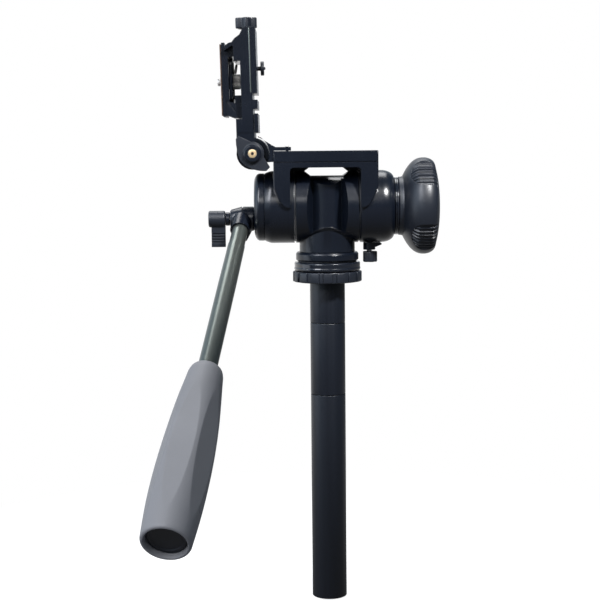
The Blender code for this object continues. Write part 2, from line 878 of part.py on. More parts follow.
def dial_angles():
    """Angles round the dial: close together over the ribs, wide between them."""
    samples = []
    patch_half = dial_ribs_per_patch * dial_rib_angle / 2
    sector = math.tau / dial_patches
    plain = sector - 2 * patch_half
    for patch in range(dial_patches):
        middle = sector * patch + sector / 2 + dial_patch_turn
        for rib in range(dial_ribs_per_patch):
            start = middle - patch_half + rib * dial_rib_angle
            away = abs(start - middle) / patch_half
            samples += [(start, away, 1.0), (start + dial_rib_angle / 2, away, 0.0)]
        end = middle + patch_half
        samples.append((end, 1.0, 1.0))
        samples += [(end + plain * step / dial_plain_steps, 1.0, 0.0)
                    for step in range(1, dial_plain_steps)]
    return samples


def dial_groove(share, away):
    """Whether a groove lies in its patch, whose outline is half a leaf."""
    if share < dial_patch_start_share or share == 1:
        return 0.0
    spread = math.sqrt((share - dial_patch_start_share) / (1 - dial_patch_start_share))
    return 1.0 if away <= spread else 0.0


def dial_mesh():
    span = dial_length - dial_neck_length - dial_face_crown
    start = dial_start + dial_neck_length
    samples = dial_angles()
    solid = bmesh.new()
    rings = []
    stations = [(dial_start, dial_neck_radius, 0.0)]
    for share in dial_ring_shares:
        stations.append((start + span * share, dial_radius_at(share), share))
    stations.append((dial_end, dial_recess_radius + gap * 2, 0.0))
    for height, radius, share in stations:
        row = []
        for angle, away, groove in samples:
            reach = radius - dial_rib_depth * groove * dial_groove(share, away)
            row.append(solid.verts.new((reach * math.cos(angle), reach * math.sin(angle), height)))
        rings.append(row)
    count = len(samples)
    for lower, upper in zip(rings, rings[1:]):
        for step in range(count):
            after = (step + 1) % count
            solid.faces.new((lower[step], lower[after], upper[after], upper[step]))
    solid.faces.new(list(reversed(rings[0])))
    solid.faces.new(rings[-1])
    return solid


def build_dial(finishes, axis):
    dial = add_object("drag_dial", dial_mesh(), finishes["moulded"], axis, along_x())
    bore = axle_radius + gap
    cut(dial, "dial_bore", disc(bore, dial_start - overrun, dial_start + dial_bore_depth,
                                steps=small_turning_steps), along_x())
    recess_floor = dial_end - dial_recess_depth
    cut(dial, "dial_recess", disc(dial_recess_radius, recess_floor, dial_end + overrun,
                                  steps=small_turning_steps), along_x())
    cap = disc(dial_cap_radius, recess_floor + gap, recess_floor + gap + dial_cap_height,
               dial_cap_round, small_turning_steps)
    add_object("dial_cap", cap, finishes["gloss"], axis, along_x())


def build_tilt_lock(finishes, tilt_axis, knob_axis):
    boss = add_object("lock_boss", disc(lock_boss_radius, -lock_boss_drop, -drum_radius / 2,
                                        steps=small_turning_steps),
                      finishes["body"], tilt_axis, at(x=lock_offset))
    tab_top = -drum_radius + lock_tab_height / 2
    tab = [(0.0, tab_top), (0.0, -drum_radius - lock_tab_height),
           (lock_boss_radius, -drum_radius - lock_tab_height),
           (lock_tab_length, -drum_radius - lock_tab_height / 2),
           (lock_tab_length, -drum_radius - lock_tab_height / 4),
           (lock_boss_radius, tab_top)]
    fuse(boss, "lock_tab", extruded(tab, -lock_tab_half_depth, lock_tab_half_depth),
         at(x=lock_offset))
    reach = right_drum_end + overrun
    cut(boss, "lock_boss_seat", disc(saddle_bore, 0.0, reach), along_x())
    cut(boss, "lock_boss_bore", disc(lock_screw_radius + gap, -lock_boss_drop - overrun, 0.0,
                                     steps=screw_steps), at(x=lock_offset))
    outline = lobed_outline(lock_knob_radius, lock_knob_lobes, lock_knob_lobe_depth)
    knob = add_object("lock_knob", extruded(outline, -lock_knob_height, 0.0, "XY"),
                      finishes["moulded"], knob_axis)
    round_edges(knob, lock_knob_edge)
    hole_depth = lock_knob_height / 2
    cut(knob, "lock_knob_bore", disc(lock_screw_radius + gap, -hole_depth, overrun,
                                     steps=screw_steps))
    screw_top = lock_boss_drop + lock_knob_gap - drum_radius + lock_screw_hole_depth - gap
    add_object("lock_screw", disc(lock_screw_radius, gap - hole_depth, screw_top,
                                  steps=screw_steps), finishes["steel"], knob_axis)


# Yoke


def yoke_outline():
    """Front view: a plate with two legs whose tips curve in over the drums."""
    def leg(outer, inner):
        tip = inner + yoke_leg_tip_width
        points = []
        for step in range(yoke_leg_points):
            height = yoke_leg_shoulder * (1 - step / (yoke_leg_points - 1))
            inward = 1 - (height / yoke_leg_shoulder) ** yoke_leg_power_share
            points.append((outer + (tip - outer) * inward, height))
        return points + [(inner, 0.0)]
    left = mirrored(leg(yoke_left, yoke_arch_left))
    right = leg(yoke_right, yoke_arch_right)
    return ([(yoke_right, yoke_top)] + right + left + [(-yoke_left, yoke_top)])


def yoke_arch():
    """The opening between the legs, with rounded upper corners."""
    corner = yoke_arch_round
    top = yoke_plate_underside
    right = arc((yoke_arch_right - corner, top - corner), corner, 0.0, math.pi / 2, 5)
    left = arc((-yoke_arch_left + corner, top - corner), corner, math.pi / 2, math.pi, 5)
    return ([(-yoke_arch_left, -overrun), (yoke_arch_right, -overrun)] + right + left)


def build_yoke(finishes, axis):
    yoke = add_object("yoke", extruded(yoke_outline(), -yoke_half_depth, yoke_half_depth),
                      finishes["body"], axis)
    round_edges(yoke, yoke_edge, 1, math.radians(60))
    long_reach = yoke_left + overrun
    cut(yoke, "drum_saddle", disc(saddle_bore, -long_reach, long_reach), along_x())
    back = yoke_half_depth - yoke_back_wall
    cut(yoke, "arch_opening", extruded(yoke_arch(), -yoke_half_depth - overrun, back))
    cut(yoke, "back_wall_foot", block((-yoke_arch_left, back - overrun, -overrun),
                                      (yoke_arch_right, yoke_half_depth + overrun,
                                       yoke_back_wall_foot)))
    middle = yoke_window_middle
    tall = yoke_window_half_height
    window = [(-yoke_window_half_width, middle), (-yoke_window_top_half_width, middle - tall),
              (yoke_window_top_half_width, middle - tall), (yoke_window_half_width, middle),
              (yoke_window_top_half_width, middle + tall),
              (-yoke_window_top_half_width, middle + tall)]
    cut(yoke, "back_window", extruded(window, back - overrun, yoke_half_depth + overrun))
    tray_half = yoke_half_depth - yoke_rim
    floor = yoke_top - yoke_tray_depth
    cut(yoke, "platform_tray", block((-long_reach, -tray_half, floor),
                                     (long_reach, tray_half, yoke_top + overrun)))
    cut(yoke, "button_hole", disc(yoke_button_hole, yoke_plate_underside - overrun,
                                  yoke_top, steps=small_turning_steps),
        at(x=flip_x + button_w))
    line_low = yoke_line_height - yoke_line_width / 2
    cut(yoke, "front_line", block((-long_reach, -yoke_half_depth - overrun, line_low),
                                  (long_reach, yoke_line_depth - yoke_half_depth,
                                   line_low + yoke_line_width)))
    for side in (-1, 1):
        place = at(x=foot_screw_x() + flip_x, y=side * foot_screw_y())
        cut(yoke, "foot_screw_hole", disc(foot_screw_shank + gap,
                                          yoke_top - foot_screw_length - gap,
                                          yoke_top + overrun, steps=screw_steps), place)


# Hinge between yoke and platform


def foot_screw_x():
    return bracket_foot_reach - foot_screw_inset


def foot_screw_y():
    return yoke_half_depth - yoke_rim / 2


def bracket_foot_underside():
    return flip_below_yoke_top + gap


def bracket_outline():
    """Cheek of the bracket round the flip axis, in the platform's u and w."""
    face = flip_from_yoke_face - gap
    top_angle = math.atan2(bracket_tip_height, bracket_tip_reach)
    low_angle = -math.asin(bracket_drop / bracket_bore)
    bore = arc((0, 0), bracket_bore, top_angle, low_angle, bracket_bore_points)
    return bore + [(face, -bracket_drop), (face, bracket_foot_underside()),
                   (bracket_foot_reach, bracket_foot_underside()),
                   (bracket_foot_reach, bracket_foot_height),
                   (bracket_shoulder_reach + (face - bracket_shoulder_reach) * 2,
                    bracket_foot_height),
                   (bracket_shoulder_reach, bracket_shoulder_height),
                   (bracket_brow_reach, bracket_brow_height),
                   (bracket_tip_reach, bracket_tip_height + gap)]


def build_bracket(finishes, flip_base):
    inner = yoke_half_depth - yoke_rim + gap
    outline = bracket_outline()
    bracket = add_object("hinge_bracket", extruded(outline, -yoke_half_depth, -inner),
                         finishes["body"], flip_base)
    fuse(bracket, "bracket_back_cheek", extruded(outline, inner, yoke_half_depth))
    face = flip_from_yoke_face - gap
    low_angle = -math.asin(bracket_drop / bracket_bore)
    bar_top = arm_inner_u + 2 * gap
    high_angle = -math.asin(bar_top / bracket_bore)
    bar = (arc((0, 0), bracket_bore, high_angle, low_angle, 3)
           + [(face, -bracket_drop), (face, -bar_top)])
    fuse(bracket, "bracket_bar", extruded(bar, -yoke_half_depth, yoke_half_depth))
    lug = (arc((0, 0), lug_radius, math.pi / 2, math.pi * 3 / 2, lug_points)
           + [(face - gap, -bracket_drop), (face - gap, -bar_top)])
    for side, name in ((-1, "front_lug"), (1, "back_lug")):
        low, high = sorted((side * lug_inner, side * (lug_inner + lug_thickness)))
        fuse(bracket, name, extruded(lug, low, high))
    cut(bracket, "pin_bore", disc(pin_radius + gap, -yoke_half_depth - overrun,
                                  yoke_half_depth + overrun, steps=screw_steps),
        Matrix.Rotation(math.pi / 2, 4, "X"))
    for side in (-1, 1):
        place = at(x=foot_screw_x(), y=side * foot_screw_y())
        cut(bracket, "foot_hole", disc(foot_screw_shank + gap, 0.0,
                                       bracket_foot_height + overrun, steps=screw_steps), place)
    for side, name in ((-1, "front_bracket_screw"), (1, "back_bracket_screw")):
        place = at(x=foot_screw_x(), y=side * foot_screw_y())
        top = bracket_foot_height + gap
        bottom = flip_below_yoke_top - foot_screw_length
        screw = turned([(0, bottom), (foot_screw_shank, bottom), (foot_screw_shank, top),
                        (foot_screw_radius, top), (foot_screw_radius, top + foot_screw_head),
                        (0, top + foot_screw_head)], screw_steps)
        add_object(name, screw, finishes["steel"], flip_base, place)


def build_hinge_pin(finishes, flip_base):
    front = knuckle_half_width + gap
    pin = turned([(0, -front), (pin_radius, -front), (pin_radius, front),
                  (pin_head_radius, front), (pin_head_radius, front + pin_head_height),
                  (0, front + pin_head_height)], small_turning_steps)
    add_object("hinge_pin", pin, finishes["steel"], flip_base,
               Matrix.Rotation(-math.pi / 2, 4, "X"))


def lever_outline():
    """Two-tipped lock lever: a round boss inside a curved belly."""
    boss = arc((0, 0), lever_boss_radius, lever_boss_from, lever_boss_to, lever_boss_points)
    upper = [(lever_tip_radius * math.cos(lever_upper_inner),
              lever_tip_radius * math.sin(lever_upper_inner))]
    belly = []
    for step in range(lever_belly_points):
        share = step / (lever_belly_points - 1)
        angle = lever_upper_tip + (lever_lower_outer - lever_upper_tip) * share
        if angle < lever_belly_middle:
            away = (lever_belly_middle - angle) / (lever_belly_middle - lever_upper_tip)
        else:
            away = (angle - lever_belly_middle) / (lever_lower_outer - lever_belly_middle)
        radius = lever_belly_radius + (lever_tip_radius - lever_belly_radius) * away ** 3
        belly.append((radius * math.cos(angle), radius * math.sin(angle)))
    lower = [(lever_tip_radius * math.cos(lever_lower_tip),
              lever_tip_radius * math.sin(lever_lower_tip))]
    return boss + upper + belly + lower


def build_lever(finishes, axis):
    """The lever's inner face is at y = 0 on its own axis."""
    lever = add_object("flip_lever", extruded(lever_outline(), -lever_thickness, 0.0),
                       finishes["moulded"], axis)
    turn = Matrix.Rotation(math.pi / 2, 4, "X")
    fuse(lever, "lever_ring", disc(lever_ring_radius, lever_thickness / 2,
                                   lever_thickness + lever_ring_height,
                                   steps=small_turning_steps), turn)
    face = lever_thickness + lever_ring_height
    screw = add_object("pivot_screw", disc(pivot_screw_radius, face + gap,
                                           face + gap + pivot_screw_height,
                                           steps=small_turning_steps),
                       finishes["steel"], axis, turn)
    hexagon = arc((0, 0), pivot_slot_radius, 0, math.tau * 5 / 6, 6)
    top = face + gap + pivot_screw_height
    cut(screw, "pivot_socket", extruded(hexagon, top - pivot_slot_depth, top + overrun, "XY"),
        turn)


# Folding platform


def slab_back():
    """Back of the quick-release plate's thin rim, beyond the rails."""
    return -quick_plate_u_back - quick_plate_thickness + quick_slab_thickness


def rail_back():
    return -quick_plate_u_back + rail_depth


def flank(u, neck, deep, side):
    """Height at u of a line one gap off a rail's slanted flank."""
    run = rail_back() - slab_back()
    rise = deep - neck
    clear = gap * math.hypot(run, rise) / run
    return neck + rise * (u - slab_back()) / run + side * clear


def upper_flank(u):
    return flank(u, upper_rail_neck, upper_rail_deep, 1)


def lower_flank(u):
    return flank(u, lower_rail_neck, lower_rail_deep, -1)


def platform_outline():
    """Casting seen from the front, with the fixed jaw and the latch leaf."""
    front = -plate_u_front
    back = plate_u_back
    lip = slab_back() + gap
    floor = rail_back() + gap
    return [
        (-plate_shelf_u, plate_bottom), (arm_inner_u, plate_bottom),
        (leaf_u_inner, plate_bottom), (back, plate_bottom),
        (back, leaf_top), (leaf_u_inner, leaf_top), (leaf_u_inner, plate_bottom + leaf_foot),
        (web_u, plate_bottom + leaf_foot), (web_u, block_mid_low), (back, block_mid_low),
        (back, block_mid_high), (web_u, block_mid_high), (web_u, block_bottom),
        (back, block_bottom), (back, plate_top), (-plate_neck_u, plate_top),
        (-plate_shoulder_high_u, plate_shoulder_high),
        (-plate_shoulder_mid_u, plate_shoulder_mid),
        (-plate_shoulder_u, plate_shoulder_low), (-plate_lip_nose_u, plate_lip_nose),
        (lip, plate_lip_high), (lip, upper_flank(lip)), (floor, upper_flank(floor)),
        (floor, plate_jaw_root), (front, plate_jaw_root),
        (front, plate_shelf_top), (-plate_shelf_u, plate_shelf_top)]


def build_platform(finishes, axis):
    plate = add_object("flip_platform",
                       extruded(platform_outline(), -plate_half_width, plate_half_width),
                       finishes["body"], axis)
    arm_end = math.tau + math.acos(arm_inner_u / knuckle_radius)
    arm = ([(arm_inner_u, plate_bottom + overrun), (-plate_shelf_u, plate_bottom + overrun),
            (-plate_shelf_u, plate_bottom)]
           + arc((0, 0), knuckle_radius, knuckle_arc_start, arm_end, knuckle_arc_points)
           + [(arm_inner_u, plate_bottom)])
    arms = [("front_arm", -knuckle_half_width, -lug_inner - lug_thickness - knuckle_gap),
            ("middle_arm", -lug_inner + knuckle_gap, lug_inner - knuckle_gap),
            ("back_arm", lug_inner + lug_thickness + knuckle_gap, knuckle_half_width)]
    for name, low, high in arms:
        fuse(plate, name, extruded(arm, low, high))
    cut(plate, "knuckle_bore", disc(pin_radius + gap, -plate_half_width, plate_half_width,
                                    steps=screw_steps), Matrix.Rotation(math.pi / 2, 4, "X"))
    fuse(plate, "rear_post", block((-rear_post_u, plate_half_width - rear_post_half_depth * 2,
                                    rear_post_low),
                                   (-plate_neck_u + gap, plate_half_width, rear_post_high)))
    cut(plate, "jaw_slot", block((-plate_shelf_u - overrun, -jaw_slot_half_width,
                                  jaw_slot_floor),
                                 (-plate_u_front, jaw_slot_half_width,
                                  plate_shelf_top + overrun)))
    cut(plate, "nut_slot", block((-plate_u_front - overrun, -clamp_nut_half_width - gap,
                                  jaw_bottom - clamp_travel - gap),
                                 (clamp_nut_back() + gap, clamp_nut_half_width + gap,
                                  jaw_top + gap)))
    cut(plate, "screw_bore", disc(clamp_screw_radius + gap, jaw_top, plate_top + overrun,
                                  steps=screw_steps), at(x=clamp_screw_u))
    cut(plate, "button_bore", disc(button_stem_radius + gap, -button_stem_depth - gap,
                                   plate_u_back + overrun, steps=screw_steps),
        at(z=button_w) @ along_x())
    groove_low = plate_groove_u - plate_groove_width / 2
    cut(plate, "side_groove", block((groove_low, -plate_half_width - overrun, block_bottom),
                                    (groove_low + plate_groove_width,
                                     -plate_half_width + plate_groove_width, plate_top + overrun)))


def clamp_nut_back():
    return clamp_screw_u + clamp_screw_radius + gap + clamp_nut_wall


def movable_jaw_outline():
    """Jaw with a wedge lip that hooks into the plate's lower groove."""
    inner = -plate_u_front - gap
    lip = slab_back() + gap
    floor = rail_back() + gap
    return [(-jaw_nose_u, jaw_bottom), (inner, jaw_bottom), (inner, jaw_top), (floor, jaw_top),
            (floor, lower_flank(floor)), (lip, lower_flank(lip)), (lip, jaw_lip_low)]


def quick_plate_outline():
    """Thin rim plate with two dovetail rails behind it."""
    face = -quick_plate_u_back - quick_plate_thickness
    slab = slab_back()
    back = -quick_plate_u_back
    deep = rail_back()
    return [(face, quick_plate_low), (slab, quick_plate_low), (slab, lower_rail_neck),
            (deep, lower_rail_deep), (deep, lower_rail_inner - rail_slope),
            (back, lower_rail_inner), (back, upper_rail_inner),
            (deep, upper_rail_inner + rail_slope), (deep, upper_rail_deep),
            (slab, upper_rail_neck), (slab, quick_plate_high), (face, quick_plate_high)]


def build_quick_plate(finishes, axis):
    back = -quick_plate_u_back
    front = back - quick_plate_thickness
    slab = extruded(quick_plate_outline(), -quick_plate_half_width, quick_plate_half_width)
    plate = add_object("quick_release_plate", slab, finishes["body"], axis)
    bore = camera_thread_radius + gap
    cut(plate, "camera_screw_bore", disc(bore, -overrun - quick_plate_thickness, overrun,
                                         steps=small_turning_steps),
        at(x=back, z=camera_screw_w) @ along_x())
    pad_back = front - gap
    pad = block((pad_back - quick_pad_thickness,
                 -quick_plate_half_width + quick_plate_round / 2,
                 quick_plate_low + quick_plate_round / 2),
                (pad_back, quick_plate_half_width - quick_plate_round / 2,
                 quick_plate_high - quick_plate_round / 2))
    pad_piece = add_object("camera_pad", pad, finishes["pad"], axis)
    cut(pad_piece, "pad_screw_bore", disc(bore, -overrun - quick_pad_thickness, overrun,
                                          steps=small_turning_steps),
        at(x=pad_back, z=camera_screw_w) @ along_x())


def build_camera_screw(finishes, axis):
    """The screw's own axis has its origin on the plate's back face."""
    thread_end = quick_plate_thickness + gap + quick_pad_thickness + camera_thread_proud
    screw = turned([(0, -thread_end), (camera_thread_radius, -thread_end),
                    (camera_thread_radius, gap), (camera_flange_radius, gap),
                    (camera_flange_radius, camera_flange_height),
                    (camera_head_radius, camera_flange_height),
                    (camera_head_radius, camera_head_height), (0, camera_head_height)],
                   small_turning_steps)
    add_object("camera_screw", screw, finishes["steel"], axis, along_x())


def build_folding_ring(finishes, axis):
    """A flat D-shaped ring that folds on the camera screw's head."""
    half = ring_leaf_width / 2
    wire = ring_wire_width
    outer = ([(-half, 0.0)] + [(half, 0.0)]
             + arc((0, ring_leaf_length - half), half, 0.0, math.pi, 9))
    half_leaf = ring_leaf_thickness / 2
    leaf = extruded(outer, -half_leaf, half_leaf, "YZ")
    ring_piece = add_object("folding_ring", leaf, finishes["steel"], axis)
    inner = ([(-half + wire, wire)] + [(half - wire, wire)]
             + arc((0, ring_leaf_length - half), half - wire, 0.0, math.pi, 9))
    cut(ring_piece, "ring_opening", extruded(inner, -half_leaf - overrun, half_leaf + overrun,
                                             "YZ"))


def build_movable_jaw(finishes, axis):
    jaw = add_object("movable_jaw",
                     extruded(movable_jaw_outline(), -jaw_half_width, jaw_half_width),
                     finishes["body"], axis)
    fuse(jaw, "jaw_nut", block((-plate_u_front - 2 * gap, -clamp_nut_half_width, jaw_bottom),
                               (clamp_nut_back(), clamp_nut_half_width, jaw_top)))
    cut(jaw, "jaw_thread", disc(clamp_screw_radius + gap, jaw_bottom - overrun,
                                jaw_top + overrun, steps=screw_steps), at(x=clamp_screw_u))


def build_clamp_knob(finishes, axis):
    """The knob's own axis has its origin on the platform's top edge."""
    outline = lobed_outline(knob_radius, knob_lobes, knob_lobe_depth, 8, knob_turn)
    knob = add_object("clamp_knob", extruded(outline, knob_gap, knob_gap + knob_height, "XY"),
                      finishes["moulded"], axis)
    round_edges(knob, lock_knob_edge)
    hole_top = knob_gap + knob_height / 2
    cut(knob, "clamp_knob_bore", disc(clamp_screw_radius + gap, -overrun, hole_top,
                                      steps=screw_steps))
    screw = disc(clamp_screw_radius, jaw_bottom - plate_top + gap, hole_top - gap,
                 steps=screw_steps)
    add_object("clamp_screw", screw, finishes["steel"], axis)


def build_button(finishes, axis):
    """The button's own axis has its origin on the platform's underside."""
    top = button_stand_off + button_thickness
    button = turned([(0, -button_stem_depth), (button_stem_radius, -button_stem_depth),
                     (button_stem_radius, button_stand_off), (button_radius, button_stand_off),
                     (button_radius, top), (button_tip_radius, top),
                     (button_tip_radius, top + button_tip_height),
                     (0, top + button_tip_height)], small_turning_steps)
    add_object("safety_button", button, finishes["moulded"], axis, along_x())


# Handle side


def build_rosette(finishes, axis):
    """Fixed half of the handle joint, with a ribbed lug below."""
    base = at(z=-rosette_drop)
    hub = add_object("rosette_hub", disc(rosette_radius, rosette_start, rosette_end,
                                         rosette_edge, small_turning_steps),
                     finishes["body"], axis, base @ along_x(-1))
    lug = [(-rosette_end, 0.0), (-rosette_start - rosette_edge, 0.0),
           (-rosette_start - rosette_edge, -rosette_radius * rosette_lug_root_share)]
    foot_left = (-rosette_end, -rosette_lug_drop)
    foot_right = (-rosette_end + rosette_lug_foot, -rosette_lug_drop)
    lug += [foot_right, foot_left]
    fuse(hub, "rosette_lug", extruded(lug, rosette_lug_setback - rosette_lug_half_depth,
                                      rosette_lug_setback + rosette_lug_half_depth), base)
    cut(hub, "rosette_bore", disc(bolt_radius + gap, rosette_start - overrun,
                                  rosette_end + overrun, steps=screw_steps),
        base @ along_x(-1))


def handle_frame():
    """Matrix whose +Z runs down the handle, from its start beside the joint."""
    start = Vector((handle_line_x, -handle_line_forward, -handle_line_drop))
    turn = handle_axis.to_track_quat("Z", "Y").to_matrix().to_4x4()
    return at(*start) @ turn


def build_handle(finishes, axis):
    """The handle's axis empty sits on the bolt, level with the rosette."""
    line = handle_frame()
    head = add_object("handle_head",
                      turned([(0, head_start), (head_radius, head_start),
                              (head_radius - head_taper, head_end - head_chamfer),
                              (head_radius - head_taper - head_chamfer, head_end),
                              (0, head_end)],
                             small_turning_steps), finishes["body"], axis, along_x(-1))
    fuse(head, "handle_socket", disc(socket_radius, socket_start, socket_end,
                                     steps=small_turning_steps), line)
    cut(head, "rosette_clearance", disc(rosette_radius + gap, 0.0, head_start,
                                        steps=small_turning_steps), along_x(-1))
    cut(head, "rod_bore", disc(rod_radius + gap, rod_start - gap, socket_end + overrun,
                               steps=small_turning_steps), line)
    cut(head, "bolt_bore", disc(bolt_radius + gap, head_start - overrun, head_end + overrun,
                                steps=screw_steps), along_x(-1))
    rod = add_object("handle_rod", disc(rod_radius, rod_start, grip_start + rod_in_grip,
                                        rod_edge, small_turning_steps),
                     finishes["rod"], axis, line)
    cut(rod, "rod_clearance", disc(rosette_radius + gap, 0.0, head_start - gap,
                                   steps=small_turning_steps), along_x(-1))
    build_grip(finishes, axis, line)


def grip_radius_at(share):
    """Slim at the neck, full at the belly, slightly drawn in at the end."""
    if share < grip_belly_share:
        rise = math.sin(share / grip_belly_share * math.pi / 2) ** grip_belly_power_share
        return grip_neck_radius + (grip_belly_radius - grip_neck_radius) * rise
    fall = 1 - math.cos((share - grip_belly_share) / (1 - grip_belly_share) * math.pi / 2)
    return grip_belly_radius - (grip_belly_radius - grip_end_radius) * fall


def grip_flat_cutter():
    """Seen from the side: a long leaf-shaped flat, deepest at its middle."""
    inner = []
    for step in range(grip_flat_points):
        along = step / (grip_flat_points - 1)
        share = grip_flat_start_share + (grip_flat_end_share - grip_flat_start_share) * along
        depth = grip_flat_depth * math.sin(math.pi * along)
        inner.append((grip_radius_at(share) - depth, grip_start + grip_length * share))
    outside = grip_belly_radius + overrun
    return inner + [(outside, inner[-1][1]), (outside, inner[0][1])]


def build_grip(finishes, axis, line):
    end = grip_start + grip_length
    bore = rod_radius + gap
    outline = [(bore, grip_start)]
    outline += arc((grip_neck_radius - grip_neck_round, grip_start + grip_neck_round),
                   grip_neck_round, -math.pi / 2, 0.0, 4)
    neck = grip_neck_round / grip_length
    last = 1 - grip_end_round / grip_length
    for step in range(1, grip_rings + 1):
        share = neck + (last - neck) * step / grip_rings
        outline.append((grip_radius_at(share), grip_start + grip_length * share))
    outline += arc((grip_end_radius - grip_end_round, end - grip_end_round),
                   grip_end_round, math.radians(30), math.pi / 2, 3)
    outline += [(grip_dish_radius, end), (grip_dish_radius, end - grip_dish_depth),
                (0, end - grip_dish_depth), (0, grip_start + grip_bore_depth),
                (bore, grip_start + grip_bore_depth)]
    grip = add_object("handle_grip", turned(outline, grip_steps), finishes["grip"], axis, line)
    for side in range(grip_flats):
        turn = grip_flat_turn + math.tau * side / grip_flats
        cut(grip, "grip_flat", extruded(grip_flat_cutter(), -grip_belly_radius,
                                        grip_belly_radius),
            line @ Matrix.Rotation(turn, 4, "Z"))
    floor = end - grip_dish_depth + gap
    add_object("grip_end_plug", disc(grip_plug_radius, floor, floor + grip_plug_thickness,
                                     rosette_edge / 2, small_turning_steps),
               finishes["moulded"], axis, line)


def build_wing_lever(finishes, axis):
    """Bolt, collar and lever turn together on the handle joint's axis."""
    bolt_inner = head_end - bolt_depth
    bolt = disc(bolt_radius, bolt_inner, wing_start + wing_hub_length / 2, steps=screw_steps)
    add_object("handle_bolt", bolt, finishes["steel"], axis, along_x(-1))
    collar = ring(bolt_collar_radius, bolt_radius + gap, bolt_collar_start,
                  bolt_collar_start + bolt_collar_length, rosette_edge / 2, small_turning_steps)
    add_object("bolt_collar", collar, finishes["body"], axis, along_x(-1))
    lever = add_object("wing_lever", disc(wing_hub_radius, wing_start, wing_end, wing_hub_edge,
                                          small_turning_steps),
                       finishes["moulded"], axis, along_x(-1))
    left = -wing_end + wing_tab_inset
    right = -wing_start
    thick = wing_tab_half_depth
    thin = wing_tab_end_half_depth
    side = [(-thick, 0.0), (-thin, -wing_tab_drop), (thin, -wing_tab_drop), (thick, 0.0)]
    fuse(lever, "wing_tab", extruded(side, left, right, "YZ"))
    for rib in range(wing_ribs):
        low = -wing_tab_drop + wing_rib_from_end + rib * wing_rib_pitch
        for name, near, far in (("front_rib", -thick - overrun, wing_rib_depth - thin),
                                ("back_rib", thin - wing_rib_depth, thick + overrun)):
            cut(lever, name, block((left - overrun, near, low),
                                   (right + overrun, far, low + wing_rib_width)))
    cut(lever, "lever_bore", disc(bolt_radius + gap, wing_start - overrun,
                                  wing_start + wing_hub_length / 2 + gap, steps=screw_steps),
        along_x(-1))


def main():
    clear_scene()
    finishes = make_finishes()
    root = add_axis("column_frame")
    lock_ring_axis = add_axis("lock_ring_axis", root, at(z=hub_bottom))
    pan_axis = add_axis("pan_axis", root, at(z=flange_bottom))
    tilt_axis = add_axis("tilt_axis", pan_axis, at(z=tilt_height - flange_bottom))
    dial_axis = add_axis("dial_axis", tilt_axis)
    lock_top = -lock_boss_drop - lock_knob_gap
    knob_axis = add_axis("lock_knob_axis", tilt_axis, at(x=lock_offset, z=lock_top))
    flip_base = add_axis("flip_base", tilt_axis, at(x=flip_x, z=flip_z))
    lever_axis = add_axis("flip_lever_axis", flip_base, at(y=-plate_half_width - gap))
    lean = Matrix.Rotation(-upright_lean, 4, "Y")
    flip_axis = add_axis("flip_axis", flip_base, lean)
    jaw_axis = add_axis("jaw_axis", flip_axis)
    clamp_axis = add_axis("clamp_axis", flip_axis, at(x=clamp_screw_u, z=plate_top))
    plate_axis = add_axis("quick_plate_axis", flip_axis)
    screw_axis = add_axis("camera_screw_axis", plate_axis,
                          at(x=-quick_plate_u_back, z=camera_screw_w))
    ring_axis = add_axis("folding_ring_axis", screw_axis,
                         at(x=camera_head_height / 2, z=camera_head_radius + gap)
                         @ Matrix.Rotation(-ring_lean, 4, "Y"))
    button_axis = add_axis("button_axis", flip_axis, at(x=plate_u_back, z=button_w))
    handle_joint = add_axis("handle_joint", tilt_axis, at(z=-rosette_drop))
    wing_axis = add_axis("wing_axis", handle_joint)

    build_column(finishes, root)
    build_base(finishes, root)
    build_lock_ring(finishes, lock_ring_axis)
    build_pan_base(finishes, pan_axis)
    build_pan_housing(finishes, pan_axis)
    build_axle_line(finishes, tilt_axis)
    build_dial(finishes, dial_axis)
    build_tilt_lock(finishes, tilt_axis, knob_axis)
    build_yoke(finishes, tilt_axis)
    build_bracket(finishes, flip_base)
    build_hinge_pin(finishes, flip_base)
    build_lever(finishes, lever_axis)
    build_platform(finishes, flip_axis)
    build_movable_jaw(finishes, jaw_axis)
    build_clamp_knob(finishes, clamp_axis)
    build_quick_plate(finishes, plate_axis)
    build_camera_screw(finishes, screw_axis)
    build_folding_ring(finishes, ring_axis)
    build_button(finishes, button_axis)
    build_rosette(finishes, tilt_axis)
    build_handle(finishes, handle_joint)
    build_wing_lever(finishes, wing_axis)
    weld_cuts()


main()
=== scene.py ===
"""Studio scene of a pan and tilt head with a fold-up quick-release platform.

Every piece is made in place, in metres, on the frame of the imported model:
+Z up the column, +X along the tilt axle towards the drag dial.
"""

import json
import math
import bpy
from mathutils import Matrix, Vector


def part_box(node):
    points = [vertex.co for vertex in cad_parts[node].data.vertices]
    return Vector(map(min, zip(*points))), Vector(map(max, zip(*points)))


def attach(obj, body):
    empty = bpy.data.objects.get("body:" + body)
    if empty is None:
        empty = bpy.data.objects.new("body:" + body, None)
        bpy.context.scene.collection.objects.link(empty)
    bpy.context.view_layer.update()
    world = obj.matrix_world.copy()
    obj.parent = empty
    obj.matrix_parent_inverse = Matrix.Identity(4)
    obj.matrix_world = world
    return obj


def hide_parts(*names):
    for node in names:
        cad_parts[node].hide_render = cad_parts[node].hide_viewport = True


bl_info = {
    "name": "Pan and Tilt Head",
    "version": (1, 0, 0),
    "blender": (4, 5, 0),
    "location": "3D View > Sidebar > Head",
    "description": "Finishes, trims and lights a pan and tilt head on a short column",
    "category": "Object",
}

import bmesh
import bpy
from mathutils import Matrix, Vector

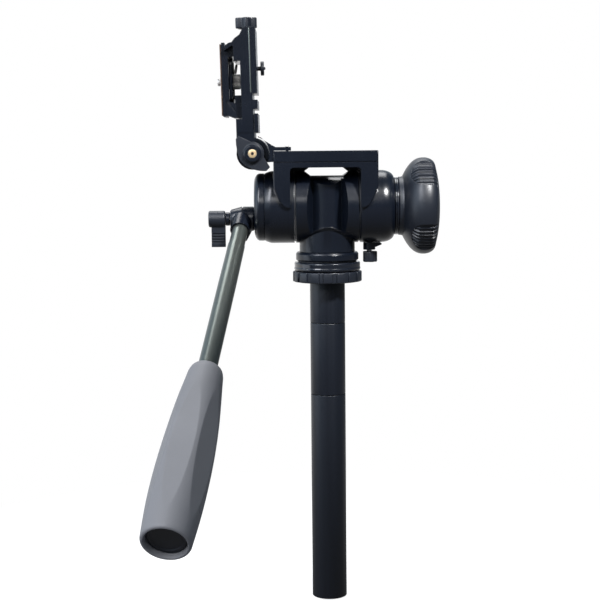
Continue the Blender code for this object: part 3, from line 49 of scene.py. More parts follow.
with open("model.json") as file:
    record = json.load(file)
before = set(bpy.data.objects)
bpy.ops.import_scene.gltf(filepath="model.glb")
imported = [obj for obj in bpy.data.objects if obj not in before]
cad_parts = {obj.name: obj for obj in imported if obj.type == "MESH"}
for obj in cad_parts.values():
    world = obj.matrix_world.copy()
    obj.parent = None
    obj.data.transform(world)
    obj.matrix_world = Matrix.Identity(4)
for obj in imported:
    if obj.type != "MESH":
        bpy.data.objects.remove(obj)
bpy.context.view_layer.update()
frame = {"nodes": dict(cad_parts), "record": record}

record = frame["record"]
slot_of = {part["node"]: part["material_slot"] for part in record["subparts"]}
body_of = {node: body for body, nodes in record["behaviour"]["bodies"].items() for node in nodes}

# Mesh fineness shared by the pieces
JOIN = 1e-6
CAD_JOIN = 2e-6
FINE_STEPS = 144
SMALL_STEPS = 72
SHARP = math.radians(32)

# The raised platform leans a little to the left of the picture
LEAN = Matrix.Rotation(math.radians(-1.2), 4, "Y")

# Play round the axle, and the step from the drag washer to its neighbours' radius
AXLE_PLAY = 0.0002
NECK_STEP = 0.0003

WHITE = (1.0, 1.0, 1.0, 1.0)


# Settings that a user would change


def colour(name, description, *default):
    return bpy.props.FloatVectorProperty(
        name=name, description=description, subtype="COLOR", size=3, min=0, max=1,
        default=default)


def length(name, description, default, least=0.0):
    return bpy.props.FloatProperty(
        name=name, description=description, unit="LENGTH", min=least, default=default)


def angle(name, description, degrees, **limits):
    return bpy.props.FloatProperty(
        name=name, description=description, subtype="ANGLE",
        default=math.radians(degrees), **limits)


def count(name, description, default, least):
    return bpy.props.IntProperty(name=name, description=description, min=least, default=default)


def share(name, description, default):
    return bpy.props.FloatProperty(
        name=name, description=description, subtype="FACTOR", min=0, max=1,
        default=default)


def power(name, description, default):
    return bpy.props.FloatProperty(
        name=name, description=description, subtype="POWER", unit="POWER", min=0,
        default=default)


class HeadFinishes(bpy.types.PropertyGroup):
    casting: colour("Casting", "Satin coat of the castings", 0.0034, 0.0052, 0.0098)
    tube: colour("Tube", "Anodised column tubes", 0.0030, 0.0050, 0.0100)
    gloss: colour("Gloss ring", "Glossy turned rings", 0.0055, 0.0075, 0.0125)
    moulded: colour("Moulded", "Moulded knobs and levers", 0.0085, 0.0110, 0.0170)
    grip: colour("Grip", "Soft rubber of the handle grip", 0.205, 0.206, 0.216)
    rod: colour("Rod", "Dark anodised handle rod", 0.17, 0.19, 0.175)
    steel: colour("Steel", "Plated screws and ring", 0.78, 0.75, 0.71)
    bronze: colour("Bronze", "Bushes inside the barrel", 0.83, 0.62, 0.36)
    nylon: colour("Nylon", "Friction washers", 0.020, 0.022, 0.026)
    pad: colour("Pad", "Brown pad that the camera rests on", 0.085, 0.050, 0.034)


class HeadShapes(bpy.types.PropertyGroup):
    edge_round: length("Edge round", "Broken edge of the castings", 0.0005)
    rim_round: length("Rim round", "Round on the rims of turned rings", 0.0006)
    tube_wall: length("Tube wall", "Wall of the column tubes", 0.0015, 0.0002)
    seam_round: length("Seam round", "Round where two tubes meet", 0.0004)
    drum_taper: length("Drum taper", "How much the left drum narrows to its cap", 0.0018)
    drum_taper_run: length("Taper run", "Length of that taper along the axle", 0.0046)
    cap_round: length("Cap round", "Round of the left cap along the axle", 0.0046)
    cap_crown: length("Cap crown", "Round of the left cap across the axle", 0.0068)
    ring_teeth: count("Ring teeth", "Teeth round the pan lock ring", 16, 3)
    ring_notch: angle("Ring notch", "Angle of each notch between two teeth", 7.5, min=0)
    ring_notch_depth: length("Notch depth", "How far the notches cut in", 0.0012)
    dial_patches: count("Dial patches", "Ribbed grip patches round the dial", 4, 1)
    dial_patch_turn: angle("Patch turn", "Where the patches sit round the dial", -3.0)
    dial_grooves: count("Dial grooves", "Grooves in each patch", 8, 1)
    dial_groove_angle: angle("Groove angle", "From one groove to the next", 5.2, min=0)
    dial_rib_depth: length("Dial ribs", "Depth of the grooves in the dial", 0.0010)
    knob_lobes: count("Knob lobes", "Lobes round each small knob", 5, 3)
    grip_flats: count("Grip flats", "Long leaf-shaped flats round the grip", 6, 3)
    grip_flat_depth: length("Grip flat depth", "How deep they cut at the belly", 0.0019)
    grip_flat_turn: angle("Grip flat turn", "Where the flats sit round the grip", 0.0)
    handle_dip: angle("Handle dip", "How far the handle slants down", 35)
    handle_splay: angle("Handle splay", "How far the handle leans outwards", 7.1)
    thread_pitch: length("Thread pitch", "Camera screw, twenty turns an inch", 0.00127, 0.0002)


class HeadStage(bpy.types.PropertyGroup):
    camera_place: bpy.props.FloatVectorProperty(
        name="Camera", description="Where the camera stands", subtype="TRANSLATION",
        unit="LENGTH", size=3, default=(-0.02541, -1.11971, 0.3624))
    camera_dip: angle("Dip", "How far the camera looks down", 6.07)
    camera_swing: angle("Swing", "How far the camera turns right of +Y", 0.1668)
    camera_roll: angle("Roll", "How far the picture leans", 0.557)
    lens: bpy.props.FloatProperty(
        name="Lens", description="Focal length for a 36 mm frame, in millimetres",
        min=1, default=84.0)
    key_power: power("Key light", "Narrow lamp high on the right", 150.0)
    key_cone: angle("Key cone", "Takes in the head but not the handle's grip", 17.0, min=0)
    fill_power: power("Fill light", "Wide soft box on the left", 19.0)
    side_power: power("Side light", "Low soft box beside the handle", 3.5)
    front_power: power("Front light", "Soft box over the camera", 2.4)
    top_power: power("Top light", "Soft box above and behind", 7.0)
    room_light: bpy.props.FloatProperty(
        name="Room light", description="Even light of the white room", min=0,
        default=0.20)
    room_tone: colour("Room tone", "Cool light of the room in front", 0.62, 0.80, 1.0)
    dark_front: share("Dark front", "How bright the room in front mirrors in gloss", 0.085)
    shadow_reach: length("Shadow reach", "How far the floor shows the shadow", 0.45, 0.01)
    shadow_share: share("Shadow share", "How much of the floor's shadow shows", 0.30)


# Shader and geometry maths written as expressions


def maths(operation, swapped=False):
    """An operator of Signal, which adds the Math node for it."""
    def apply(signal, other):
        pair = (other, signal) if swapped else (signal, other)
        return signal.graph.math(operation, *pair)
    return apply


class Signal:
    """A node's output; sums and products of signals add their Math nodes."""
    __add__, __radd__ = maths("ADD"), maths("ADD", True)
    __sub__, __rsub__ = maths("SUBTRACT"), maths("SUBTRACT", True)
    __mul__, __rmul__ = maths("MULTIPLY"), maths("MULTIPLY", True)
    __truediv__, __rtruediv__ = maths("DIVIDE"), maths("DIVIDE", True)
    __gt__, __lt__ = maths("GREATER_THAN"), maths("LESS_THAN")

    def __init__(self, graph, socket):
        self.graph = graph
        self.socket = socket


class Graph:
    """Adds nodes to a shader or geometry tree."""

    def __init__(self, tree):
        self.tree = tree

    def node(self, kind, settings=None, sockets=None):
        made = self.tree.nodes.new(kind)
        for name, value in (settings or {}).items():
            setattr(made, name, value)
        for name, value in (sockets or {}).items():
            if isinstance(value, Signal):
                self.tree.links.new(value.socket, made.inputs[name])
            else:
                made.inputs[name].default_value = value
        return made

    def signal(self, kind, settings=None, sockets=None, output=0):
        return Signal(self, self.node(kind, settings, sockets).outputs[output])

    def signals(self, kind, outputs, sockets=None):
        """Several outputs of one node."""
        made = self.node(kind, None, sockets)
        return [Signal(self, made.outputs[output]) for output in outputs]

    def math(self, operation, *values, clamp=False):
        return self.signal("ShaderNodeMath",
                           {"operation": operation, "use_clamp": clamp},
                           dict(enumerate(values)))

    def larger(self, first, second):
        return self.math("MAXIMUM", first, second)

    def clamp(self, value):
        return self.math("MULTIPLY", value, 1.0, clamp=True)

    def vector(self, x, y, z):
        return self.signal("ShaderNodeCombineXYZ", None, {0: x, 1: y, 2: z})

    def parts(self, vector):
        return self.signals("ShaderNodeSeparateXYZ", (0, 1, 2), {0: vector})

    def blend_colours(self, mixed, first, second):
        return self.signal("ShaderNodeMix", {"data_type": "RGBA"},
                           {"Factor": mixed, 6: first, 7: second}, 2)


# Finishes


class Finish(Graph):
    """A Principled material and the patterns that the finishes share."""

    def __init__(self, name, tone, **fixed):
        material = bpy.data.materials.new(name)
        material.use_nodes = True
        material.diffuse_color = (*tone, 1.0)
        super().__init__(material.node_tree)
        self.material = material
        self.tone = tone
        self.shader = material.node_tree.nodes["Principled BSDF"]
        for socket, value in fixed.items():
            self.shader.inputs[socket.replace("_", " ")].default_value = value
        self.place = self.signal("ShaderNodeTexCoord", output="Object")

    def feed(self, name, value):
        self.tree.links.new(value.socket, self.shader.inputs[name])

    def noise(self, scale, detail=2.0, roughness=0.5, stretch=None):
        place = self.place
        if stretch:
            place = self.signal("ShaderNodeMapping", None, {"Vector": place, "Scale": stretch})
        return self.signal("ShaderNodeTexNoise", None,
                           {"Vector": place, "Scale": scale, "Detail": detail,
                            "Roughness": roughness})

    def paint(self, value, spread):
        """The finish's tone, darker and lighter by spread as value goes 0 to 1."""
        dark = (*[channel * (1 - spread) for channel in self.tone], 1.0)
        light = (*[min(1.0, channel * (1 + spread)) for channel in self.tone], 1.0)
        self.feed("Base Color", self.blend_colours(value, dark, light))

    def relief(self, height, distance, strength, edge=0.0):
        sockets = {"Height": height, "Distance": distance, "Strength": strength}
        if edge:
            sockets["Normal"] = self.signal("ShaderNodeBevel", {"samples": 2}, {"Radius": edge})
        self.feed("Normal", self.signal("ShaderNodeBump", None, sockets))


def casting_finish(settings, shapes):
    """Satin powder coat: fine orange peel, faint cloudiness, soft edges."""
    finish = Finish("satin_casting", settings.casting, Specular_IOR_Level=0.5)
    cloud = finish.noise(38.0, 3.0)
    grain = finish.noise(1900.0, 2.0, 0.6)
    finish.paint(cloud, 0.22)
    finish.feed("Roughness", 0.25 + (cloud - 0.5) * 0.08 + (grain - 0.5) * 0.06)
    finish.relief(grain, 0.00002, 0.35, shapes.edge_round)
    return finish.material


def tube_finish(settings, shapes):
    """Anodised tube: drawn streaks along the column under a satin skin."""
    finish = Finish("anodised_tube", settings.tube, Metallic=0.0)
    streak = finish.noise(420.0, 2.0, 0.5, (1.0, 1.0, 0.012))
    grain = finish.noise(2600.0, 1.0)
    finish.paint(streak, 0.25)
    finish.feed("Roughness", 0.40 + (streak - 0.5) * 0.12 + (grain - 0.5) * 0.06)
    finish.relief(streak * 0.5 + grain * 0.5, 0.00002, 0.4, shapes.edge_round)
    return finish.material


def gloss_finish(settings, shapes):
    """Glossy turned ring: faint lathe rings round the column."""
    finish = Finish("glossy_ring", settings.gloss, Coat_Weight=0.5, Coat_Roughness=0.08)
    rings = finish.noise(300.0, 1.0, 0.5, (0.05, 0.05, 9.0))
    finish.paint(rings, 0.15)
    finish.feed("Roughness", 0.19 + (rings - 0.5) * 0.08)
    finish.relief(rings, 0.00001, 0.3, shapes.edge_round)
    return finish.material


def moulded_finish(settings, shapes):
    """Moulded plastic with a fine spark-eroded grain."""
    finish = Finish("moulded_black", settings.moulded)
    grain = finish.signal("ShaderNodeTexVoronoi", None, {"Vector": finish.place, "Scale": 2200.0})
    cloud = finish.noise(60.0, 2.0)
    finish.paint(cloud, 0.15)
    finish.feed("Roughness", 0.36 + (cloud - 0.5) * 0.10 + grain * 0.06)
    finish.relief(grain, 0.00003, 0.35, shapes.edge_round)
    return finish.material


def grip_finish(settings, shapes):
    """Soft rubber: matt skin with a dusty sheen and very fine pores."""
    finish = Finish("soft_grip", settings.grip, Sheen_Weight=0.06, Sheen_Roughness=0.5)
    cloud = finish.noise(26.0, 3.0)
    pores = finish.noise(1500.0, 3.0, 0.65)
    finish.paint(cloud * 0.6 + pores * 0.4, 0.20)
    finish.feed("Roughness", 0.56 + (pores - 0.5) * 0.14)
    finish.relief(pores, 0.00004, 0.5, shapes.edge_round)
    return finish.material


def rod_finish(settings, shapes):
    """Dark anodised rod with an even fine grain."""
    finish = Finish("dark_rod", settings.rod, Metallic=0.85)
    grain = finish.noise(900.0, 2.0)
    finish.paint(grain, 0.05)
    finish.feed("Roughness", 0.30 + (grain - 0.5) * 0.06)
    return finish.material


def steel_finish(settings, shapes):
    """Plated steel with a trace of turning marks."""
    finish = Finish("bright_steel", settings.steel, Metallic=0.4)
    marks = finish.noise(1400.0, 2.0)
    patina = finish.noise(180.0, 3.0)
    finish.paint(patina, 0.14)
    finish.feed("Roughness", 0.36 + (marks - 0.5) * 0.14)
    finish.relief(marks, 0.00001, 0.4, shapes.edge_round / 2)
    return finish.material


def bronze_finish(settings, shapes):
    """Sintered bronze, cloudy and half dull."""
    finish = Finish("bearing_bronze", settings.bronze, Metallic=0.7)
    marks = finish.noise(700.0, 2.0)
    finish.paint(marks, 0.2)
    finish.feed("Roughness", 0.35 + (marks - 0.5) * 0.2)
    return finish.material


def nylon_finish(settings, shapes):
    """Dark nylon, faintly cloudy."""
    finish = Finish("nylon_washer", settings.nylon)
    cloud = finish.noise(90.0, 2.0)
    finish.paint(cloud, 0.08)
    finish.feed("Roughness", 0.5 + (cloud - 0.5) * 0.1)
    return finish.material


def pad_finish(settings, shapes):
    """Cork rubber: brown granules of several shades, rough all over."""
    finish = Finish("cork_rubber", settings.pad)
    shades, edges = finish.signals("ShaderNodeTexVoronoi", ("Color", "Distance"),
                                   {"Vector": finish.place, "Scale": 900.0})
    shade = finish.parts(shades)[0]
    speck = finish.noise(2600.0, 2.0)
    finish.paint(shade * 0.7 + speck * 0.3, 0.55)
    finish.feed("Roughness", 0.82 + (speck - 0.5) * 0.2)
    finish.relief(edges * 0.6 + speck * 0.4, 0.00012, 0.8)
    return finish.material


FINISH_OF_SLOT = {
    "anodised_tube": tube_finish,
    "satin_black_casting": casting_finish,
    "glossy_black_ring": gloss_finish,
    "moulded_black": moulded_finish,
    "soft_grip_rubber": grip_finish,
    "dark_anodised_rod": rod_finish,
    "bright_steel": steel_finish,
    "bearing_bronze": bronze_finish,
    "nylon_washer": nylon_finish,
    "brown_cork_rubber": pad_finish,
}
finishes = {}


# Geometry Nodes trees


class Form(Graph):
    """A geometry tree with named inputs and one mesh output."""

    def __init__(self, name, counts, numbers):
        tree = bpy.data.node_groups.new(name, "GeometryNodeTree")
        super().__init__(tree)
        kinds = {"Geometry": "NodeSocketGeometry", "Material": "NodeSocketMaterial",
                 **dict.fromkeys(counts, "NodeSocketInt"),
                 **dict.fromkeys(numbers, "NodeSocketFloat")}
        tree.interface.new_socket("Geometry", in_out="OUTPUT", socket_type="NodeSocketGeometry")
        self.identifiers = {
            title: tree.interface.new_socket(title, in_out="INPUT",
                                             socket_type=kind).identifier
            for title, kind in kinds.items()}
        self.entry = tree.nodes.new("NodeGroupInput")

    def given(self, title):
        return Signal(self, self.entry.outputs[title])

    def close(self, geometry):
        """Real geometry with its material, as every tree here ends."""
        real = self.signal("GeometryNodeRealizeInstances", None, {"Geometry": geometry})
        painted = self.signal("GeometryNodeSetMaterial", None,
                              {"Geometry": real, "Material": self.given("Material")})
        self.node("NodeGroupOutput", None, {"Geometry": painted})


class TurnedForm(Form):
    """Spins a chain of points (radius on X, height on Z) about Z.

    Grooves in patches, leaf-shaped flats, lobes and a screw thread are all
    changes of the radius along the angle and the height.
    """
    groove_gain, groove_cut = 2.6, 0.35
    flat_blend, flat_least_cosine = 0.0002, 0.3
    axis_clear = 0.0005
    thread_fade = 0.0004

    def __init__(self):
        super().__init__(
            "turned_form", ("Steps", "Patches", "Grooves", "Flats", "Lobes"),
            ("Patch Turn", "Patch Radius", "Groove Angle", "Groove Depth", "Patch Tip",
             "Patch Full", "Patch End", "Flat Turn", "Flat Depth", "Flat Start",
             "Flat End", "Lobe Turn", "Lobe Depth", "Thread Pitch", "Thread Depth",
             "Thread Start", "Thread End"))
        profile = self.given("Geometry")
        rows = self.signal("GeometryNodeAttributeDomainSize", None, {"Geometry": profile})
        grid = self.signal("GeometryNodeMeshGrid", None,
                           {"Size X": 1.0, "Size Y": 1.0, "Vertices Y": rows,
                            "Vertices X": self.given("Steps") + 1}, "Mesh")
        across, along, _ = self.parts(self.signal("GeometryNodeInputPosition"))
        row = self.math("ROUND", (along + 0.5) * (rows - 1))
        point = self.signal("GeometryNodeSampleIndex", {"data_type": "FLOAT_VECTOR"},
                            {"Geometry": profile,
                             "Value": self.signal("GeometryNodeInputPosition"),
                             "Index": row})
        radius, _, self.height = self.parts(point)
        self.turn = (across + 0.5) * math.tau
        for change in (self.patches, self.flats, self.lobes, self.thread):
            radius = change(radius)
        place = self.vector(radius * self.math("COSINE", self.turn),
                            radius * self.math("SINE", self.turn), self.height)
        self.close(self.signal("GeometryNodeSetPosition", None,
                               {"Geometry": grid, "Position": place}))

    def sector(self, sectors, offset):
        """Angle from the middle of the nearest of the sectors."""
        wide = math.tau / self.larger(self.given(sectors), 1)
        around = self.math("FLOORED_MODULO", self.turn - self.given(offset), wide)
        return around - wide / 2

    def patches(self, radius):
        """Cut grooves into patches that narrow to a round tip."""
        local = self.sector("Patches", "Patch Turn")
        pitch = self.given("Groove Angle")
        tip, full = self.given("Patch Tip"), self.given("Patch Full")
        inwards = 1 - self.clamp((self.height - tip) / (full - tip))
        leaf = self.math("SQRT", 1 - inwards * inwards) * pitch * self.given("Grooves") / 2
        inside = leaf > self.math("ABSOLUTE", local)
        inside = inside * (self.height < self.given("Patch End")) * (self.height > tip)
        wave = self.math("COSINE", local / pitch * math.tau)
        groove = self.clamp((0.5 - wave * 0.5) * self.groove_gain - self.groove_cut)
        proud = self.larger(radius - self.given("Patch Radius"), 0.0)
        return radius - (groove * self.given("Groove Depth") + proud) * inside

    def flats(self, radius):
        """Cut flats that are deepest half way along; with none, no plane is near."""
        flat = self.sector("Flats", "Flat Turn")
        start, end = self.given("Flat Start"), self.given("Flat End")
        travel = self.clamp((self.height - start) / (end - start))
        depth = self.given("Flat Depth") * self.math("SINE", travel * math.pi)
        lean = self.larger(self.math("COSINE", flat), self.flat_least_cosine)
        plane = (radius - depth) / lean + (self.given("Flats") < 1)
        return self.math("SMOOTH_MIN", radius, plane, self.flat_blend)

    def lobes(self, radius):
        swell = self.math("COSINE", (self.turn - self.given("Lobe Turn")) * self.given("Lobes"))
        hollow = (1 - swell) / 2 * self.given("Lobe Depth")
        return radius - hollow * (radius > self.axis_clear)

    def thread(self, radius):
        phase = self.height / self.given("Thread Pitch") - self.turn / math.tau
        tooth = self.math("PINGPONG", phase, 0.5) * 2
        rise = self.clamp((self.height - self.given("Thread Start")) / self.thread_fade)
        fall = self.clamp((self.given("Thread End") - self.height) / self.thread_fade)
        return radius - tooth * (rise * fall) * self.given("Thread Depth")


class RingForm(Form):
    """Copies of a mesh turned round Z, Count of them, the first by Turn."""

    def __init__(self):
        super().__init__("ring_of_copies", ("Count",), ("Turn",))
        copies = self.given("Count")
        centres = self.signal("GeometryNodePoints", None, {"Count": copies})
        around = self.signal("GeometryNodeInputIndex") * math.tau / copies + self.given("Turn")
        self.close(self.signal("GeometryNodeInstanceOnPoints", None,
                               {"Points": centres, "Instance": self.given("Geometry"),
                                "Rotation": self.vector(0.0, 0.0, around)}))


forms = {}


# Places and measures taken from the frame


def at(x=0.0, y=0.0, z=0.0):
    return Matrix.Translation((x, y, z))


def span(node, axis):
    low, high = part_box(node)
    return low[axis], high[axis]


def half(node, axis):
    low, high = span(node, axis)
    return (high - low) / 2


def centre(node):
    low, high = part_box(node)
    return (low + high) / 2


def up_column(node):
    """Bottom, top and radius of a piece on the column."""
    return *span(node, 2), half(node, 0)


def along_axle(node, side=1):
    """Near end, far end and radius of a piece on that side of the tilt axle."""
    low, high = span(node, 0)
    near, far = (low, high) if side > 0 else (-high, -low)
    return near, far, half(node, 1)


def along_x(side=1):
    return Matrix.Rotation(side * math.pi / 2, 4, "Y")


def on_axle(side=1):
    """Lays +Z along the tilt axle, outwards on that side."""
    return at(z=centre("tilt_axle").z) @ along_x(side)


# Outlines of turned pieces, as (radius, height) chains


def rounded(points, rounds, steps=5):
    """Fillet the inner corners of an open chain; rounds gives one radius each."""
    chain = [points[0]]
    for before, corner, after, size in zip(points, points[1:], points[2:], rounds[1:]):
        if size <= 0:
            chain.append(corner)
            continue
        here = Vector(corner)
        back, on = Vector(before) - here, Vector(after) - here
        bend = back.angle(on) / 2
        reach = min(size / math.tan(bend), back.length * 0.49, on.length * 0.49)
        size = reach * math.tan(bend)
        middle = here + (back.normalized() + on.normalized()).normalized() * (
            size / math.sin(bend))
        first = here + back.normalized() * reach - middle
        last = here + on.normalized() * reach - middle
        start = math.atan2(first.y, first.x)
        sweep = math.remainder(math.atan2(last.y, last.x) - start, math.tau)
        for step in range(steps + 1):
            turn = start + sweep * step / steps
            chain.append((middle.x + size * math.cos(turn), middle.y + size * math.sin(turn)))
    chain.append(points[-1])
    return chain


def shares(count):
    """Even steps of a run, without its start and with its end at 1."""
    return [step / count for step in range(1, count + 1)]


def dome(radius, end, across, along, steps=24):
    """Quarter ellipse from a cylinder's side over to its end."""
    turns = [math.pi / 2 * step / steps for step in range(steps + 1)]
    return [(radius - across * (1 - math.cos(turn)), end - along * (1 - math.sin(turn)))
            for turn in turns]


def ring_chain(size, bore, outside, rounds):
    """Closed outline of a ring; outside holds (inset, share of its height) points."""
    low, high, radius = size
    points = [(bore, low)]
    points += [(radius - inset, low + (high - low) * part) for inset, part in outside]
    points += [(bore, high), (bore, low)]
    return rounded(points, [0, *rounds, 0])


def dished_disc(low, high, radius, lip, dish, depth):
    """Outline of a disc whose upper face is sunk by depth inside its lip."""
    corner, edge = 0.0006, 0.0003
    return rounded([(0, low), (radius, low), (radius, high), (lip, high),
                    (dish, high - depth), (0, high - depth)],
                   [0, 0, corner, edge, edge])


# Making and settling pieces


def add_object(name, data):
    piece = bpy.data.objects.new(name, data)
    bpy.context.scene.collection.objects.link(piece)
    return piece


def object_from(name, solid):
    mesh = bpy.data.meshes.new(name)
    solid.to_mesh(mesh)
    solid.free()
    return add_object(name, mesh)


def bridge(solid, rings):
    """Faces between rings of corners that follow one another."""
    for below, above in zip(rings, rings[1:]):
        for step in range(len(below)):
            after = (step + 1) % len(below)
            solid.faces.new((below[step], below[after], above[after], above[step]))


def evaluated_mesh(piece):
    graph = bpy.context.evaluated_depsgraph_get()
    return bpy.data.meshes.new_from_object(piece.evaluated_get(graph))


def plain_mesh(piece):
    """Turn what the modifiers give into the piece's own mesh."""
    mesh = evaluated_mesh(piece)
    piece.modifiers.clear()
    piece.data = mesh
    mesh.name = piece.name
    return piece


def close_seams(piece):
    """Merge seams and poles and point the faces outwards."""
    solid = bmesh.new()
    solid.from_mesh(piece.data)
    bmesh.ops.remove_doubles(solid, verts=solid.verts, dist=JOIN)
    bmesh.ops.dissolve_degenerate(solid, edges=solid.edges, dist=JOIN)
    bmesh.ops.recalc_face_normals(solid, faces=solid.faces)
    solid.to_mesh(piece.data)
    solid.free()


def smooth(piece, sharp=SHARP):
    piece.data.shade_smooth()
    piece.data.set_sharp_from_angle(angle=sharp)
    return piece


def break_edges(piece, width, segments, corner, flat_faces=False):
    """Round the edges sharper than corner; flat_faces keeps the shading flat."""
    bevel = piece.modifiers.new("broken_edges", "BEVEL")
    bevel.width = width
    bevel.segments = segments
    bevel.limit_method = "ANGLE"
    bevel.angle_limit = corner
    if flat_faces:
        piece.modifiers.new("flat_faces", "WEIGHTED_NORMAL")
    return plain_mesh(piece)


def grow(piece, form, **values):
    """Run a geometry tree on the piece and keep the result as its mesh."""
    step = piece.modifiers.new(form.tree.name, "NODES")
    step.node_group = form.tree
    for title, value in values.items():
        step[form.identifiers[title.replace("_", " ")]] = value
    return plain_mesh(piece)


def trim(piece, slot, body):
    """Give a piece its finish and body; all that a piece beside the nodes needs."""
    piece.data.materials.clear()
    piece.data.materials.append(finishes[slot])
    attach(piece, body)


def dress(piece, node):
    """Give a piece the node's finish, body and place in the frame."""
    trim(piece, slot_of[node], body_of[node])
    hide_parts(node)


# A turned piece has none of the features that it isn't given
PLAIN_TURNING = dict.fromkeys(
    ("Thread_Pitch", "Patch_Full", "Patch_Radius", "Flat_End", "Groove_Angle"), 1.0)


def turned(name, chain, slot, place, steps=FINE_STEPS, sharp=SHARP, **features):
    """A turned piece from its chain, set in place."""
    line = bmesh.new()
    for radius, height in chain:
        line.verts.new((radius, 0.0, height))
    piece = object_from(name, line)
    grow(piece, forms["turned"], Steps=steps, Material=finishes[slot],
         **{**PLAIN_TURNING, **features})
    piece.data.transform(place)
    close_seams(piece)
    return smooth(piece, sharp)


def turned_node(node, chain, place, *fineness, **features):
    """A turned piece that stands for a node."""
    dress(turned(node + "_finished", chain, slot_of[node], place, *fineness, **features), node)


def turned_trim(name, chain, slot, body, place, *fineness, **features):
    """A turned piece that no node stands for."""
    trim(turned(name, chain, slot, place, *fineness, **features), slot, body)


def casting_copy(node, width=0.0):
    """The node's own shape with its triangles joined and its rounds smooth."""
    piece = add_object(node + "_finished", frame["nodes"][node].data.copy())
    solid = bmesh.new()
    solid.from_mesh(piece.data)
    bmesh.ops.remove_doubles(solid, verts=solid.verts, dist=CAD_JOIN)
    bmesh.ops.dissolve_limit(solid, angle_limit=math.radians(0.3),
                             verts=solid.verts, edges=solid.edges)
    solid.to_mesh(piece.data)
    solid.free()
    smooth(piece)
    if width:
        break_edges(piece, width, 2, math.radians(38), flat_faces=True)
    dress(piece, node)


def socket_head(name, radius, tall, socket, depth, steps=48):
    """A low round head along +Z with a six-sided socket in its face."""
    solid = bmesh.new()
    wedge = math.tau / 6

    def ring(size, height, sixfold=False):
        corners = []
        for step in range(steps):
            turn = math.tau * step / steps
            reach = size / math.cos(turn % wedge - wedge / 2) if sixfold else size
            corners.append(solid.verts.new((reach * math.cos(turn),
                                            reach * math.sin(turn), height)))
        return corners

    rings = [ring(radius, 0.0), ring(radius, tall * 0.55),
             ring(radius * 0.94, tall * 0.85), ring(radius * 0.82, tall),
             ring(socket, tall, True), ring(socket, tall - depth, True)]
    bridge(solid, rings)
    solid.faces.new(reversed(rings[0]))
    solid.faces.new(rings[-1])
    return object_from(name, solid)


# Operators: one for each piece or group of like pieces


class HeadOperator:
    """What every step of the build shares."""
    bl_options = {"REGISTER", "UNDO"}

    def execute(self, context):
        self.make(context.scene.head_shapes, context.scene)
        return {"FINISHED"}


class HEAD_OT_finishes(HeadOperator, bpy.types.Operator):
    """Make every finish and give it to the model's own nodes"""
    bl_idname = "head.finishes"
    bl_label = "Finishes"

    def make(self, shapes, scene):
        for slot, maker in FINISH_OF_SLOT.items():
            finishes[slot] = maker(scene.head_finishes, shapes)
        for node, piece in frame["nodes"].items():
            piece.data.materials.clear()
            piece.data.materials.append(finishes[slot_of[node]])


class HEAD_OT_forms(HeadOperator, bpy.types.Operator):
    """Build the geometry trees that the pieces are grown from"""
    bl_idname = "head.forms"
    bl_label = "Geometry trees"

    def make(self, shapes, scene):
        forms["turned"] = TurnedForm()
        forms["ring"] = RingForm()


class HEAD_OT_column(HeadOperator, bpy.types.Operator):
    """Three tubes of the column, their ends slightly rounded at the seams"""
    bl_idname = "head.column"
    bl_label = "Column tubes"

    def make(self, shapes, scene):
        edge = shapes.seam_round
        for node in ("column_lower_tube", "column_middle_tube", "column_upper_tube"):
            low, high, outer = up_column(node)
            inner, middle = outer - shapes.tube_wall, (low + high) / 2
            chain = rounded([(inner, middle), (inner, low), (outer, low),
                             (outer, high), (inner, high), (inner, middle)],
                            [0, edge / 2, edge, edge, edge / 2])
            turned_node(node, chain, at())


class HEAD_OT_base(HeadOperator, bpy.types.Operator):
    """Hub, glossy collar and pan flange stacked under the pan housing"""
    bl_idname = "head.base"
    bl_label = "Base rings"
    # Share of the spindle's radius that the rings' hidden bore takes
    bore_share = 0.66

    def make(self, shapes, scene):
        rim = shapes.rim_round
        low, high, outer = up_column("base_hub")
        chain = rounded([(0, low), (outer, low), (outer, high), (0, high)], [0, rim, 0])
        turned_node("base_hub", chain, at())

        bore = half("pan_spindle", 0) * self.bore_share
        collar = up_column("base_collar")
        step_in, groove = collar[2] * 0.018, collar[2] * 0.030
        turned_node("base_collar", ring_chain(
            collar, bore, [(step_in, 0), (0, 0.16), (0, 0.30), (groove * 0.35, 0.40),
                           (groove * 0.2, 0.86), (groove, 1)], [rim] * 6), at())
        turned_node("pan_flange", ring_chain(
            up_column("pan_flange"), bore,
            [(rim, 0), (0, 0.12), (0, 0.78), (rim * 1.6, 1)], [rim] * 4), at())


